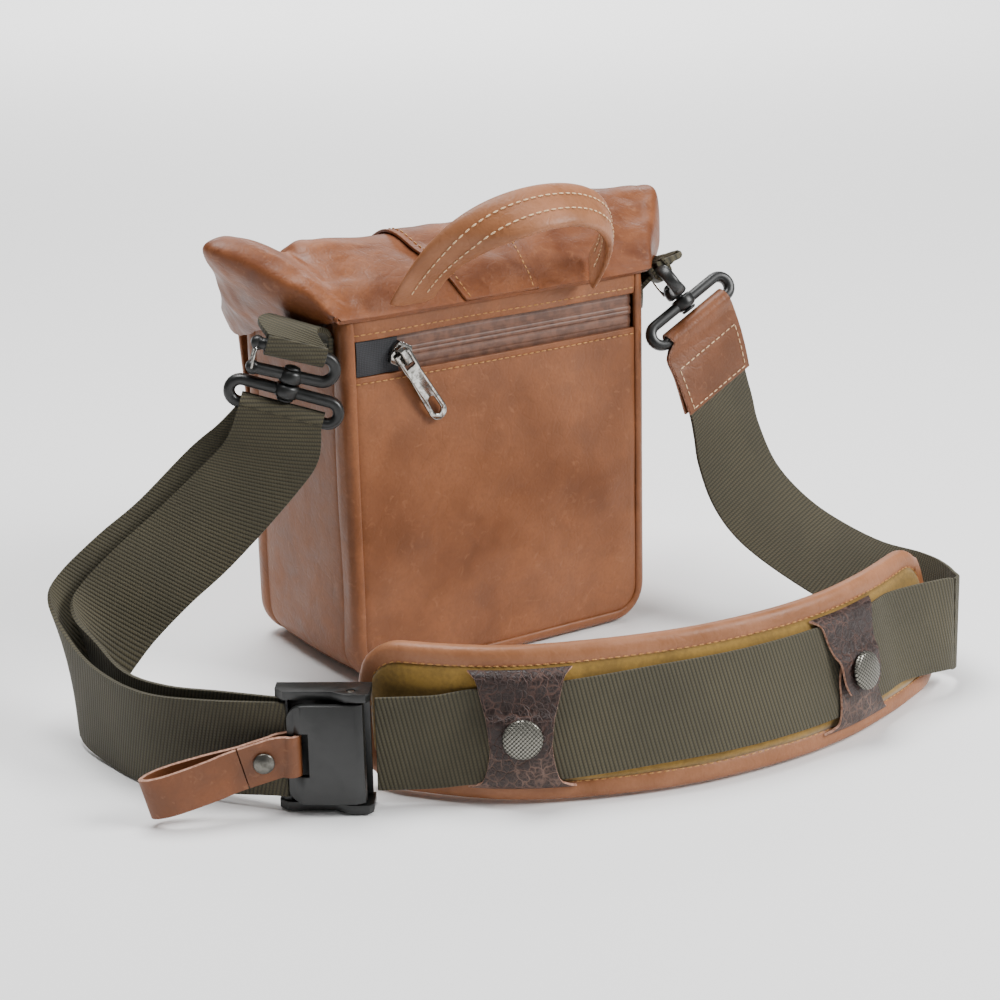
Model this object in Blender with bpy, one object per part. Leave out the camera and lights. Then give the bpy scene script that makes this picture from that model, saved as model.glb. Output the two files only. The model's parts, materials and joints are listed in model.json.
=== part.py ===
"""Camera bag with a webbing shoulder strap, modelled as its separate sewn, moulded and metal pieces.

Frame: metres, +Z up, origin at the centre of the bag's base on the surface it stands on.
The panel with the zip pocket faces -Y, the closing flap faces +Y.
Lengths are written in millimetres and turned to metres by mm().
"""
import math

import bmesh
import bpy
from mathutils import Matrix, Vector

# ---------------------------------------------------------------- driving dimensions (millimetres)
BAG_WIDTH = 156.0
BAG_DEPTH = 92.0
BAG_HEIGHT = 170.0
BACK_TOP = 168.2
SIDE_TOP = 162.0
FRONT_TOP = 158.0
BASE_CORNER_RADIUS = 18.0
LEATHER = 2.2
PIPING_RADIUS = 2.0
PIPING_INSET = 2.2
GAP = 0.3

ZIP_BOTTOM = 143.0
ZIP_TOP = 159.0
ZIP_CENTRE = 151.0
ZIP_TRAVEL_START = -52.5
PULLER_TILT = math.radians(31.0)
PULLER_LENGTH = 36.0

LINER_WALL = 5.0
LINER_TOP = 158.0
POCKET_DEPTH = 5.0

LID_HINGE = (0.0, -46.0, 171.0)
LID_CREST_HALF = 120.0
LID_CREST_HEIGHT = 201.0
FLAP_HINGE = (0.0, 54.0, 158.0)
FLAP_BOTTOM = 72.0

HANDLE_HALF_SPAN = 47.5
HANDLE_RISE = 57.0
HANDLE_LEAN = math.radians(42.0)
HANDLE_WIDTH = 23.0
HANDLE_THICKNESS = 5.0
HANDLE_HINGE = (0.0, -49.0, 172.0)

WEBBING_WIDTH = 40.0
WEBBING_THICKNESS = 1.6
FOLD_WIDTH = 36.5
TAB_WIDTH = 26.0

RING_HALF_LENGTH = 24.0
RING_HALF_HEIGHT = 5.0
RING_BAR_RADIUS = 2.6
HOOK_BAR_RADIUS = 2.5
HOOK_LOW_BAR = 12.0
HOOK_TOP_BAR = 23.0
GATE_X = -17.4

PAD_TOTAL_HEIGHT = 64.0
PAD_CENTRE_HEIGHT = 33.2
PAD_THICKNESS = 7.0
PAD_BINDING_RADIUS = 3.2
PAD_LEAN = math.radians(12.0)
KEEPER_HALF_WIDTH = 21.5
KEEPER_WAIST_HALF = 13.0

ADJUSTER_CENTRE = (-151.8, -145.5, 26.0)
ADJUSTER_ALONG = (0.81, -0.586, 0.0)

# The swivels: centre of the strap ring, its long direction and the swivel axis pointing up.
SWIVELS = {
    "left": {"centre": (-105.0, -37.5, 136.5), "along": (0.81, -0.51, -0.29), "hook_turn": 8.0},
    "right": {"centre": (103.0, -50.0, 147.0), "along": (0.885, 0.0, 0.465), "hook_turn": -108.0},
}


def mm(value):
    """A length, or a point, in millimetres as metres."""
    if isinstance(value, (int, float)):
        return value * 0.001
    return Vector(value) * 0.001


# ---------------------------------------------------------------- scene helpers
def clear_scene():
    for existing in list(bpy.data.objects):
        bpy.data.objects.remove(existing, do_unlink=True)


def material(name, colour, roughness=0.6, metallic=0.0):
    found = bpy.data.materials.get(name)
    if found:
        return found
    made = bpy.data.materials.new(name)
    made.use_nodes = True
    shader = made.node_tree.nodes["Principled BSDF"]
    shader.inputs["Base Color"].default_value = (*colour, 1.0)
    shader.inputs["Roughness"].default_value = roughness
    shader.inputs["Metallic"].default_value = metallic
    return made


MATERIALS = {
    "tan_leather": ((0.40, 0.14, 0.07), 0.55, 0.0),
    "dark_leather": ((0.045, 0.02, 0.016), 0.5, 0.0),
    "olive_webbing": ((0.08, 0.07, 0.04), 0.9, 0.0),
    "felt": ((0.26, 0.15, 0.03), 0.95, 0.0),
    "zip_tape": ((0.15, 0.07, 0.055), 0.6, 0.0),
    "charcoal_patch": ((0.035, 0.035, 0.04), 0.8, 0.0),
    "black_plastic": ((0.03, 0.03, 0.032), 0.4, 0.0),
    "bright_metal": ((0.6, 0.6, 0.6), 0.2, 1.0),
    "pewter": ((0.25, 0.25, 0.24), 0.4, 1.0),
    "lining": ((0.05, 0.05, 0.05), 0.95, 0.0),
    "board": ((0.1, 0.1, 0.1), 0.8, 0.0),
}


def add_object(name, mesh, finish, origin=None, frame=None):
    """Link a mesh as a named object; its origin goes to a joint axis or its mesh is in a local frame."""
    piece = bpy.data.objects.new(name, mesh)
    bpy.context.collection.objects.link(piece)
    mesh.materials.clear()
    mesh.materials.append(material(finish, *MATERIALS[finish]))
    if frame is not None:
        piece.matrix_world = frame
    if origin is not None:
        shift = mm(origin)
        mesh.transform(Matrix.Translation(-shift))
        piece.location = shift
    return piece


def mesh_from(bm, name):
    bmesh.ops.recalc_face_normals(bm, faces=bm.faces)
    mesh = bpy.data.meshes.new(name)
    bm.to_mesh(mesh)
    bm.free()
    return mesh


def cutter(name, mesh, frame=None):
    """A hidden solid that a Boolean reads."""
    tool = bpy.data.objects.new(name, mesh)
    bpy.context.collection.objects.link(tool)
    tool.hide_render = True
    tool.display_type = "WIRE"
    if frame is not None:
        tool.matrix_world = frame
    return tool


def boolean(piece, tool, operation):
    change = piece.modifiers.new(operation.title(), "BOOLEAN")
    change.operation = operation
    change.solver = "EXACT"
    change.object = tool


# ---------------------------------------------------------------- mesh helpers
def box_mesh(name, x, y, z):
    """A box between two limits on each axis."""
    bm = bmesh.new()
    bmesh.ops.create_cube(bm, size=1.0)
    size = Vector((x[1] - x[0], y[1] - y[0], z[1] - z[0]))
    centre = Vector((x[1] + x[0], y[1] + y[0], z[1] + z[0])) / 2
    bmesh.ops.scale(bm, vec=mm(size), verts=bm.verts)
    bmesh.ops.translate(bm, vec=mm(centre), verts=bm.verts)
    return mesh_from(bm, name)


def prism_mesh(name, outline, low, high, axis="Y"):
    """A flat outline pushed along an axis; outline points are the other two coordinates in order."""
    places = {
        "X": lambda p: (low, p[0], p[1]),
        "Y": lambda p: (p[0], low, p[1]),
        "Z": lambda p: (p[0], p[1], low),
    }
    push = {"X": (high - low, 0, 0), "Y": (0, high - low, 0), "Z": (0, 0, high - low)}
    bm = bmesh.new()
    ring = [bm.verts.new(mm(places[axis](p))) for p in outline]
    face = bm.faces.new(ring)
    pushed = bmesh.ops.extrude_face_region(bm, geom=[face])
    moved = [v for v in pushed["geom"] if isinstance(v, bmesh.types.BMVert)]
    bmesh.ops.translate(bm, vec=mm(push[axis]), verts=moved)
    return mesh_from(bm, name)


def cylinder_mesh(name, radius, low, high, sides=20, centre=(0.0, 0.0), axis="Z", bevel=0.0):
    """A round pin along an axis between two heights, with its rims rounded off if bevel is given."""
    bm = bmesh.new()
    bmesh.ops.create_cone(
        bm, cap_ends=True, segments=sides, radius1=mm(radius), radius2=mm(radius), depth=mm(high - low)
    )
    bmesh.ops.translate(bm, vec=mm((0, 0, (low + high) / 2)), verts=bm.verts)
    if bevel:
        rims = [e for e in bm.edges if abs(e.verts[0].co.z - e.verts[1].co.z) < 1e-7]
        bmesh.ops.bevel(
            bm, geom=rims, offset=mm(bevel), segments=2, profile=0.5, affect="EDGES", material=-1
        )
    turn = {"Z": Matrix(), "X": Matrix.Rotation(math.pi / 2, 4, "Y"), "Y": Matrix.Rotation(-math.pi / 2, 4, "X")}
    bm.transform(turn[axis])
    shift = {"Z": (*centre, 0), "X": (0, *centre), "Y": (centre[0], 0, centre[1])}
    bmesh.ops.translate(bm, vec=mm(shift[axis]), verts=bm.verts)
    return mesh_from(bm, name)


def hull_mesh(name, points):
    bm = bmesh.new()
    for point in points:
        bm.verts.new(mm(point))
    bmesh.ops.convex_hull(bm, input=bm.verts)
    bmesh.ops.dissolve_limit(bm, angle_limit=0.001, verts=bm.verts, edges=bm.edges)
    return mesh_from(bm, name)


def smooth_path(points, steps):
    """Points on a Catmull-Rom curve through the given points, which may have any number of values."""
    count = len(points)
    values = [tuple(p) for p in points]
    path = []
    for i in range(count - 1):
        before = values[max(i - 1, 0)]
        start = values[i]
        end = values[i + 1]
        after = values[min(i + 2, count - 1)]
        for k in range(steps):
            t = k / steps
            path.append(tuple(
                0.5 * (2 * b + (c - a) * t + (2 * a - 5 * b + 4 * c - d) * t * t + (3 * b - a - 3 * c + d) * t ** 3)
                for a, b, c, d in zip(before, start, end, after)
            ))
    path.append(values[-1])
    return path


def tube_mesh(name, points, radius, closed=False, resolution=2):
    """A round bar along points, through a bevelled curve."""
    curve = bpy.data.curves.new(name + "_path", "CURVE")
    curve.dimensions = "3D"
    curve.bevel_depth = mm(radius)
    curve.bevel_resolution = resolution
    curve.use_fill_caps = not closed
    spline = curve.splines.new("POLY")
    spline.points.add(len(points) - 1)
    for target, point in zip(spline.points, points):
        target.co = (*mm(point), 1.0)
    spline.use_cyclic_u = closed
    holder = bpy.data.objects.new(name + "_path", curve)
    bpy.context.collection.objects.link(holder)
    bpy.context.view_layer.update()
    mesh = bpy.data.meshes.new_from_object(holder.evaluated_get(bpy.context.evaluated_depsgraph_get()))
    bpy.data.objects.remove(holder, do_unlink=True)
    bm = bmesh.new()
    bm.from_mesh(mesh)
    bmesh.ops.remove_doubles(bm, verts=bm.verts, dist=1e-6)
    return mesh_from(bm, name)


def ribbon_mesh(name, stations, width, thickness, steps=2):
    """A flat strip along stations, with its thickness about them.

    A station is x, y, z, the three parts of the direction across, and its width if it differs from the rest.
    """
    bm = bmesh.new()
    stations = [tuple(s) if len(s) == 7 else (*s, width) for s in stations]
    path = smooth_path(stations, steps)
    sections = []
    for i, station in enumerate(path):
        centre = Vector(station[:3])
        ahead = Vector(path[min(i + 1, len(path) - 1)][:3])
        behind = Vector(path[max(i - 1, 0)][:3])
        tangent = (ahead - behind).normalized()
        across = Vector(station[3:6]).normalized()
        normal = tangent.cross(across).normalized()
        half = across * (station[6] / 2)
        lift = normal * (thickness / 2)
        corners = (centre - half - lift, centre + half - lift, centre + half + lift, centre - half + lift)
        sections.append([bm.verts.new(mm(c)) for c in corners])
    for near, far in zip(sections, sections[1:]):
        for k in range(4):
            bm.faces.new((near[k], near[(k + 1) % 4], far[(k + 1) % 4], far[k]))
    bm.faces.new(sections[0][::-1])
    bm.faces.new(sections[-1])
    return mesh_from(bm, name)


def arc(centre, radius, start, end, count):
    """Points on an arc in a plane, angles in degrees."""
    points = []
    for k in range(count + 1):
        angle = math.radians(start + (end - start) * k / count)
        points.append((centre[0] + radius * math.cos(angle), centre[1] + radius * math.sin(angle)))
    return points


def panel_outline(half_width, bottom, top, radius):
    """A panel's outline, square at its top and round at its two bottom corners."""
    inner = half_width - radius
    low = bottom + radius
    return (
        [(-half_width, top)]
        + arc((-inner, low), radius, 180, 270, 6)
        + arc((inner, low), radius, 270, 360, 6)
        + [(half_width, top)]
    )


def unit_frame(centre, along, up):
    """A frame with local X along a piece, local Z up its axis and local Y across, at a centre in mm."""
    x = Vector(along).normalized()
    z = Vector(up)
    z = (z - x * z.dot(x)).normalized()
    y = z.cross(x)
    frame = Matrix((x, y, z)).transposed().to_4x4()
    frame.translation = mm(centre)
    return frame


# ---------------------------------------------------------------- the bag's outer leather
PANEL_HALF = BAG_WIDTH / 2 - PIPING_INSET - PIPING_RADIUS - GAP
PANEL_BOTTOM = PIPING_INSET + PIPING_RADIUS + GAP
GUSSET_HALF = BAG_DEPTH / 2 - PIPING_INSET - PIPING_RADIUS - GAP
BACK_OUTER = -BAG_DEPTH / 2
BACK_INNER = BACK_OUTER + LEATHER
PANEL_CORNER = BASE_CORNER_RADIUS - PANEL_BOTTOM


def make_base_panel():
    half = BAG_WIDTH / 2
    radius = BASE_CORNER_RADIUS
    outer = arc((-half + radius, radius), radius, 180, 270, 6) + arc((half - radius, radius), radius, 270, 360, 6)
    inner = (
        arc((half - radius, radius), radius - LEATHER, 360, 270, 6)
        + arc((-half + radius, radius), radius - LEATHER, 270, 180, 6)
    )
    add_object("base_panel", prism_mesh("base_panel", outer + inner, -GUSSET_HALF, GUSSET_HALF), "tan_leather")


def make_side_panels():
    half = BAG_WIDTH / 2
    for side, sign in (("left", -1), ("right", 1)):
        limits = sorted((sign * half, sign * (half - LEATHER)))
        mesh = box_mesh(
            "side_panel_" + side, limits, (-GUSSET_HALF, GUSSET_HALF), (BASE_CORNER_RADIUS + GAP, SIDE_TOP)
        )
        add_object("side_panel_" + side, mesh, "tan_leather")


def make_front_and_back():
    lower = panel_outline(PANEL_HALF, PANEL_BOTTOM, ZIP_BOTTOM, PANEL_CORNER)
    add_object("back_panel_lower", prism_mesh("back_panel_lower", lower, BACK_OUTER, BACK_INNER), "tan_leather")
    upper = box_mesh(
        "back_panel_upper", (-PANEL_HALF, PANEL_HALF), (BACK_OUTER, BACK_INNER), (ZIP_TOP, BACK_TOP)
    )
    add_object("back_panel_upper", upper, "tan_leather")
    front = panel_outline(PANEL_HALF, PANEL_BOTTOM, FRONT_TOP, PANEL_CORNER)
    add_object("front_panel", prism_mesh("front_panel", front, -BACK_INNER, -BACK_OUTER), "tan_leather")


def make_piping():
    half = BAG_WIDTH / 2 - PIPING_INSET
    radius = BASE_CORNER_RADIUS - PIPING_INSET
    bend = (
        arc((-half + radius, PIPING_INSET + radius), radius, 180, 270, 6)
        + arc((half - radius, PIPING_INSET + radius), radius, 270, 360, 6)
    )
    depth = BACK_OUTER + PIPING_INSET
    for name, y, top in (("piping_back", depth, BACK_TOP - 1.2), ("piping_front", -depth, FRONT_TOP - 1.0)):
        outline = [(-half, top), (-half, top / 2)] + bend + [(half, top / 2), (half, top)]
        points = [(x, y, z) for x, z in outline]
        add_object(name, tube_mesh(name, points, PIPING_RADIUS), "tan_leather")


# ---------------------------------------------------------------- the zip pocket
TAPE_FRONT = BACK_INNER + GAP
RIDGE_FRONT = BACK_OUTER + 0.7


def make_zip():
    tape_y = (TAPE_FRONT, TAPE_FRONT + 0.8)
    for name, z in (("zip_tape_lower", (140.0, ZIP_CENTRE - 0.2)), ("zip_tape_upper", (ZIP_CENTRE + 0.2, 162.0))):
        add_object(name, box_mesh(name, (-73.0, 73.0), tape_y, z), "zip_tape")
    ridge = [(y, z) for z, y in arc((ZIP_CENTRE, TAPE_FRONT - GAP), 2.1, 180, 360, 6)]
    ridge_mesh = prism_mesh("zip_coil", ridge, -52.0, 73.0, "X")
    squash = Matrix.Diagonal((1.0, 0.7, 1.0, 1.0))
    lift = Matrix.Translation(mm((0, (TAPE_FRONT - GAP) * 0.3, 0)))
    ridge_mesh.transform(lift @ squash)
    add_object("zip_coil", ridge_mesh, "zip_tape")
    patch = box_mesh("zip_garage", (-73.3, -53.5), (BACK_OUTER + 0.7, TAPE_FRONT - GAP), (ZIP_BOTTOM + 0.4, ZIP_TOP - 0.4))
    add_object("zip_garage", patch, "charcoal_patch")


def puller_frame():
    """Local X runs down the puller, local Y along its pin and local Z out of the panel."""
    down = Vector((math.sin(PULLER_TILT), 0, -math.cos(PULLER_TILT)))
    out = Vector((0, -1, 0))
    return unit_frame((ZIP_TRAVEL_START, BACK_OUTER - 4.2, ZIP_CENTRE), down, out)


def make_zip_slider():
    frame = puller_frame()
    body = [(-5.2, -3.4), (-2.0, -4.8), (2.0, -4.8), (5.2, -3.6), (5.2, 3.6), (2.0, 4.8), (-2.0, 4.8), (-5.2, 3.4)]
    mesh = prism_mesh("zip_slider", body, -4.0, -1.4, "Z")
    mesh.transform(Matrix.Rotation(PULLER_TILT - math.pi / 2, 4, "Z"))
    slider = add_object("zip_slider", mesh, "bright_metal", frame=frame)
    arch = [(-4.6, -2.0), (-4.6, 1.6), (-3.2, 3.0), (3.2, 3.0), (4.6, 1.6), (4.6, -2.0)]
    arch += [(3.2, -2.0), (3.2, 1.2), (2.6, 1.8), (-2.6, 1.8), (-3.2, 1.2), (-3.2, -2.0)]
    bridge = cutter("slider_bridge", prism_mesh("slider_bridge", arch, -1.5, 1.5, "Y"), frame)
    boolean(slider, bridge, "UNION")


def make_zip_puller():
    """A flat plate with an eye round the slider's bridge and a long hole at its free end."""
    eye_end = 8.0
    half_eye = 4.1
    half_plate = 3.6
    end = PULLER_LENGTH
    outline = [(-0.9, -half_eye), (eye_end, -half_eye), (eye_end + 3, -half_plate), (end - 4, -4.4)]
    outline += arc((end - 3.4, 0), 4.4, -80, 80, 8)
    outline += [(end - 4, 4.4), (eye_end + 3, half_plate), (eye_end, half_eye), (-0.9, half_eye)]
    mesh = prism_mesh("zip_puller", outline, -0.75, 0.75, "Z")
    frame = puller_frame()
    frame.translation += frame.to_3x3() @ mm((-0.6, 0, 0))
    puller = add_object("zip_puller", mesh, "bright_metal", frame=frame)
    eye = cutter("puller_eye", box_mesh("puller_eye", (0.8, 7.2), (-2.4, 2.4), (-2, 2)), frame)
    boolean(puller, eye, "DIFFERENCE")
    slot = arc((end - 9.5, 0), 1.9, 90, 270, 6) + arc((end - 4.0, 0), 2.1, -90, 90, 6)
    hole = cutter("puller_hole", prism_mesh("puller_hole", slot, -2, 2, "Z"), frame)
    boolean(puller, hole, "DIFFERENCE")


def make_pocket_bag():
    """A flat pouch behind the zip, open at its top."""
    front = TAPE_FRONT + 0.8 + GAP
    wall = 0.7
    back = front + POCKET_DEPTH + 2 * wall
    pouch = add_object("pocket_bag", box_mesh("pocket_bag", (-70, 70), (front, back), (52, 150)), "lining")
    hollow = box_mesh("pocket_hollow", (-70 + wall, 70 - wall), (front + wall, back - wall), (52 + wall, 152))
    boolean(pouch, cutter("pocket_hollow", hollow), "DIFFERENCE")


# ---------------------------------------------------------------- inside the bag
LINER_BACK = TAPE_FRONT + 0.8 + GAP + POCKET_DEPTH + 1.4 + GAP
LINER_FRONT = GUSSET_HALF
LINER_HALF = BAG_WIDTH / 2 - LEATHER - GAP
LINER_BOTTOM = LEATHER + GAP + 1.5 + GAP


def make_base_board():
    mesh = box_mesh("base_board", (-56, 56), (-38, 38), (LEATHER + GAP, LEATHER + GAP + 1.5))
    add_object("base_board", mesh, "board")


def make_liner():
    outer = panel_outline(LINER_HALF, LINER_BOTTOM, LINER_TOP, BASE_CORNER_RADIUS - LEATHER)
    liner = add_object("padded_liner", prism_mesh("padded_liner", outer, LINER_BACK, LINER_FRONT), "lining")
    inner = panel_outline(
        LINER_HALF - LINER_WALL, LINER_BOTTOM + LINER_WALL, LINER_TOP + 2, BASE_CORNER_RADIUS - LEATHER - LINER_WALL
    )
    hollow = prism_mesh("liner_hollow", inner, LINER_BACK + LINER_WALL, LINER_FRONT - LINER_WALL)
    boolean(liner, cutter("liner_hollow", hollow), "DIFFERENCE")


def make_dividers():
    for side, x in (("left", -24.0), ("right", 24.0)):
        mesh = box_mesh(
            "divider_" + side,
            (x - 2.5, x + 2.5),
            (LINER_BACK + LINER_WALL + GAP, LINER_FRONT - LINER_WALL - GAP),
            (LINER_BOTTOM + LINER_WALL + GAP, 118.0),
        )
        add_object("divider_" + side, mesh, "lining")


# ---------------------------------------------------------------- the lid and its flap
def lid_points(back, crest, shoulder, hem_front, hem_back):
    points = []
    for point in (back, crest, shoulder, hem_front, hem_back):
        points.append(point)
        points.append((-point[0], point[1], point[2]))
    return points


def make_lid():
    outer = lid_points(
        (81.0, -46.0, 171.0), (LID_CREST_HALF, 0.0, LID_CREST_HEIGHT), (90.0, 52.0, 160.0), (88.5, 50.5, 147.5), (81.5, -45.0, 169.0)
    )
    inner = lid_points(
        (78.7, -43.2, 169.0), (112.5, 0.0, 197.2), (87.0, 49.2, 158.2), (85.5, 48.2, 125.0), (78.7, -43.2, 125.0)
    )
    lid = add_object("lid_cover", hull_mesh("lid_cover", outer), "tan_leather", origin=LID_HINGE)
    boolean(lid, cutter("lid_hollow", hull_mesh("lid_hollow", inner)), "DIFFERENCE")


def make_lid_band():
    """The doubled band over the lid's middle, wider at the crest than at the seam."""
    lift = 1.4
    rows = [(-43.0, 173.1 + lift, 19.0), (0.0, LID_CREST_HEIGHT + lift + 0.4, 29.0), (49.0, 162.4 + lift, 29.0)]
    bm = bmesh.new()
    for y, z, half in rows:
        for x in (-half, half):
            bm.verts.new(mm((x, y, z)))
    bm.verts.ensure_lookup_table()
    bm.faces.new((bm.verts[0], bm.verts[1], bm.verts[3], bm.verts[2]))
    bm.faces.new((bm.verts[2], bm.verts[3], bm.verts[5], bm.verts[4]))
    bmesh.ops.recalc_face_normals(bm, faces=bm.faces)
    band = add_object("lid_band", mesh_from(bm, "lid_band"), "tan_leather", origin=LID_HINGE)
    thick = band.modifiers.new("Solidify", "SOLIDIFY")
    thick.thickness = mm(1.4)
    thick.offset = 0.0
    thick.use_even_offset = True


def make_front_flap():
    bottom = FLAP_BOTTOM
    outline = [(-80.0, 157.0), (-79.0, 140.0)]
    outline += arc((-60.0, bottom + 14), 14.0, 180, 270, 6)
    outline += arc((60.0, bottom + 14), 14.0, 270, 360, 6)
    outline += [(79.0, 140.0), (80.0, 157.0)]
    mesh = prism_mesh("front_flap", outline, 52.8, 55.4)
    add_object("front_flap", mesh, "tan_leather", origin=FLAP_HINGE)
    band = [(-29.0, 156.0), (-29.0, bottom + 8), (-22.0, bottom + 3), (22.0, bottom + 3), (29.0, bottom + 8), (29.0, 156.0)]
    add_object("flap_band", prism_mesh("flap_band", band, 55.7, 57.1), "tan_leather", origin=FLAP_HINGE)


def make_clasp():
    """A hidden magnetic snap: a socket on the front panel and its mate inside the flap."""
    height = 90.0
    base = cylinder_mesh("clasp_socket", 9.0, 46.3, 49.0, 20, (0.0, height), "Y", bevel=0.5)
    add_object("clasp_socket", base, "bright_metal")
    mate = cylinder_mesh("clasp_magnet", 9.0, 49.5, 52.5, 20, (0.0, height), "Y", bevel=0.5)
    add_object("clasp_magnet", mate, "bright_metal", origin=FLAP_HINGE)


# ---------------------------------------------------------------- the carry handle
def make_handle():
    lean_up = Vector((0, -math.sin(HANDLE_LEAN), math.cos(HANDLE_LEAN)))
    plane_normal = Vector((0, -math.cos(HANDLE_LEAN), -math.sin(HANDLE_LEAN)))
    foot = Vector(HANDLE_HINGE) + Vector((0, 0, 1.0))
    stations = []
    count = 16
    for k in range(count + 1):
        turn = math.pi * k / count
        rise = HANDLE_RISE * math.sin(turn) ** 0.8
        centre = foot + Vector((-HANDLE_HALF_SPAN * math.cos(turn), 0, 0)) + lean_up * rise
        flat = math.cos(turn)
        across = Vector((flat, 0, 0)) + plane_normal * (1 - abs(flat)) * 2.2
        across.normalize()
        stations.append((*centre, *across))
    mesh = ribbon_mesh("handle", stations, HANDLE_WIDTH, HANDLE_THICKNESS, steps=1)
    add_object("handle", mesh, "tan_leather", origin=HANDLE_HINGE)


# ---------------------------------------------------------------- swivels, hooks and side tabs
def swivel_frames(side):
    """The strap ring's frame, and the hook's frame turned about the same axis."""
    data = SWIVELS[side]
    ring = unit_frame(data["centre"], data["along"], (-0.407, 0.488, 0.773) if side == "right" else (0, 0, 1))
    hook = ring @ Matrix.Rotation(math.radians(data["hook_turn"]), 4, "Z")
    return ring, hook


def stadium(half_length, half_height, steps):
    """A long ring's centre line: two straights joined by half circles."""
    reach = half_length - half_height
    right = arc((reach, 0), half_height, -90, 90, steps)
    left = arc((-reach, 0), half_height, 90, 270, steps)
    return right + left


def make_ring(side):
    frame, _ = swivel_frames(side)
    path = [(x, 0, z) for x, z in stadium(RING_HALF_LENGTH, RING_HALF_HEIGHT, 6)]
    ring = add_object("strap_ring_" + side, tube_mesh("ring", path, RING_BAR_RADIUS, closed=True), "black_plastic", frame=frame)
    boss = cylinder_mesh("ring_boss", 5.2, RING_HALF_HEIGHT - 3.0, RING_HALF_HEIGHT + 3.0, 20)
    boolean(ring, cutter("ring_boss_" + side, boss, frame), "UNION")
    bore = cylinder_mesh("ring_bore", 2.4, -1.0, 10.0, 16)
    boolean(ring, cutter("ring_bore_" + side, bore, frame), "DIFFERENCE")


def make_hook(side):
    """A flat C of round bar that opens at one end, with a boss on its lower bar."""
    _, frame = swivel_frames(side)
    low = HOOK_LOW_BAR
    top = HOOK_TOP_BAR
    radius = (top - low) / 2
    path = [(-16.0, 0, low), (0, 0, low)]
    path += [(x, 0, z) for x, z in arc((12.5, low + radius), radius, -90, 90, 8)]
    path += [(0, 0, top), (-16.5, 0, top)]
    hook = add_object("hook_" + side, tube_mesh("hook", path, HOOK_BAR_RADIUS), "black_plastic", frame=frame)
    boss = cylinder_mesh("hook_boss", 5.0, low - 3.6, low + 2.4, 20)
    boolean(hook, cutter("hook_boss_" + side, boss, frame), "UNION")
    bore = cylinder_mesh("hook_bore", 2.4, low - 5.0, low + 5.0, 16)
    boolean(hook, cutter("hook_bore_" + side, bore, frame), "DIFFERENCE")


def make_swivel_rivet(side):
    frame, _ = swivel_frames(side)
    low = RING_HALF_HEIGHT - 3.0 - GAP
    top = HOOK_LOW_BAR + HOOK_BAR_RADIUS + GAP
    pin = cylinder_mesh("swivel_rivet", 1.9, low - 1.0, top + 1.0, 14)
    rivet = add_object("swivel_rivet_" + side, pin, "pewter", frame=frame)
    for label, heights in (("low", (low - 1.2, low)), ("top", (top, top + 1.2))):
        head = cylinder_mesh("rivet_head", 3.6, *heights, 14)
        boolean(rivet, cutter(f"rivet_head_{label}_{side}", head, frame), "UNION")


def make_gate(side):
    """A bent wire that closes the hook's open end, from its lower bar to just under its nose."""
    _, frame = swivel_frames(side)
    low = HOOK_LOW_BAR - 1.0
    tip = HOOK_TOP_BAR - HOOK_BAR_RADIUS - 1.0
    path = [(GATE_X, -1.5, low), (GATE_X, -1.5, low + 4), (GATE_X + 0.1, -0.8, tip - 0.6), (GATE_X + 0.2, 0.0, tip)]
    path += [(GATE_X + 0.1, 0.8, tip - 0.6), (GATE_X, 1.5, low + 4), (GATE_X, 1.5, low)]
    path = [tuple(p) for p in smooth_path(path, 2)]
    add_object("wire_gate_" + side, tube_mesh("gate", path, 0.6), "bright_metal", frame=frame)


def make_tab_loop(side):
    """The webbing folded round the hook's top bar; it turns with the hook."""
    _, frame = swivel_frames(side)
    bend = HOOK_BAR_RADIUS + GAP + 1.0
    loop = []
    for k in range(9):
        angle = math.radians(200 * k / 8 - 190)
        loop.append((bend * math.cos(angle), bend * math.sin(angle)))
    lead_in = [(loop[0][0] - 0.4, 5.0)]
    lead_out = [(loop[-1][0] - 0.2, 5.0)]
    stations = [(-0.8, y, HOOK_TOP_BAR + z, 1, 0, 0) for y, z in lead_in + loop + lead_out]
    mesh = ribbon_mesh("tab_loop", stations, TAB_WIDTH, WEBBING_THICKNESS, steps=1)
    add_object("tab_loop_" + side, mesh, "olive_webbing", frame=frame)


def make_tab_anchor(side):
    """The end of the tab that is sewn flat to the side panel."""
    sign = -1 if side == "left" else 1
    half = BAG_WIDTH / 2
    limits = sorted((sign * (half + GAP), sign * (half + 3.6)))
    mesh = box_mesh("tab_anchor_" + side, limits, (-40.0, -12.0), (151.0, 161.0))
    add_object("tab_anchor_" + side, mesh, "olive_webbing")


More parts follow.
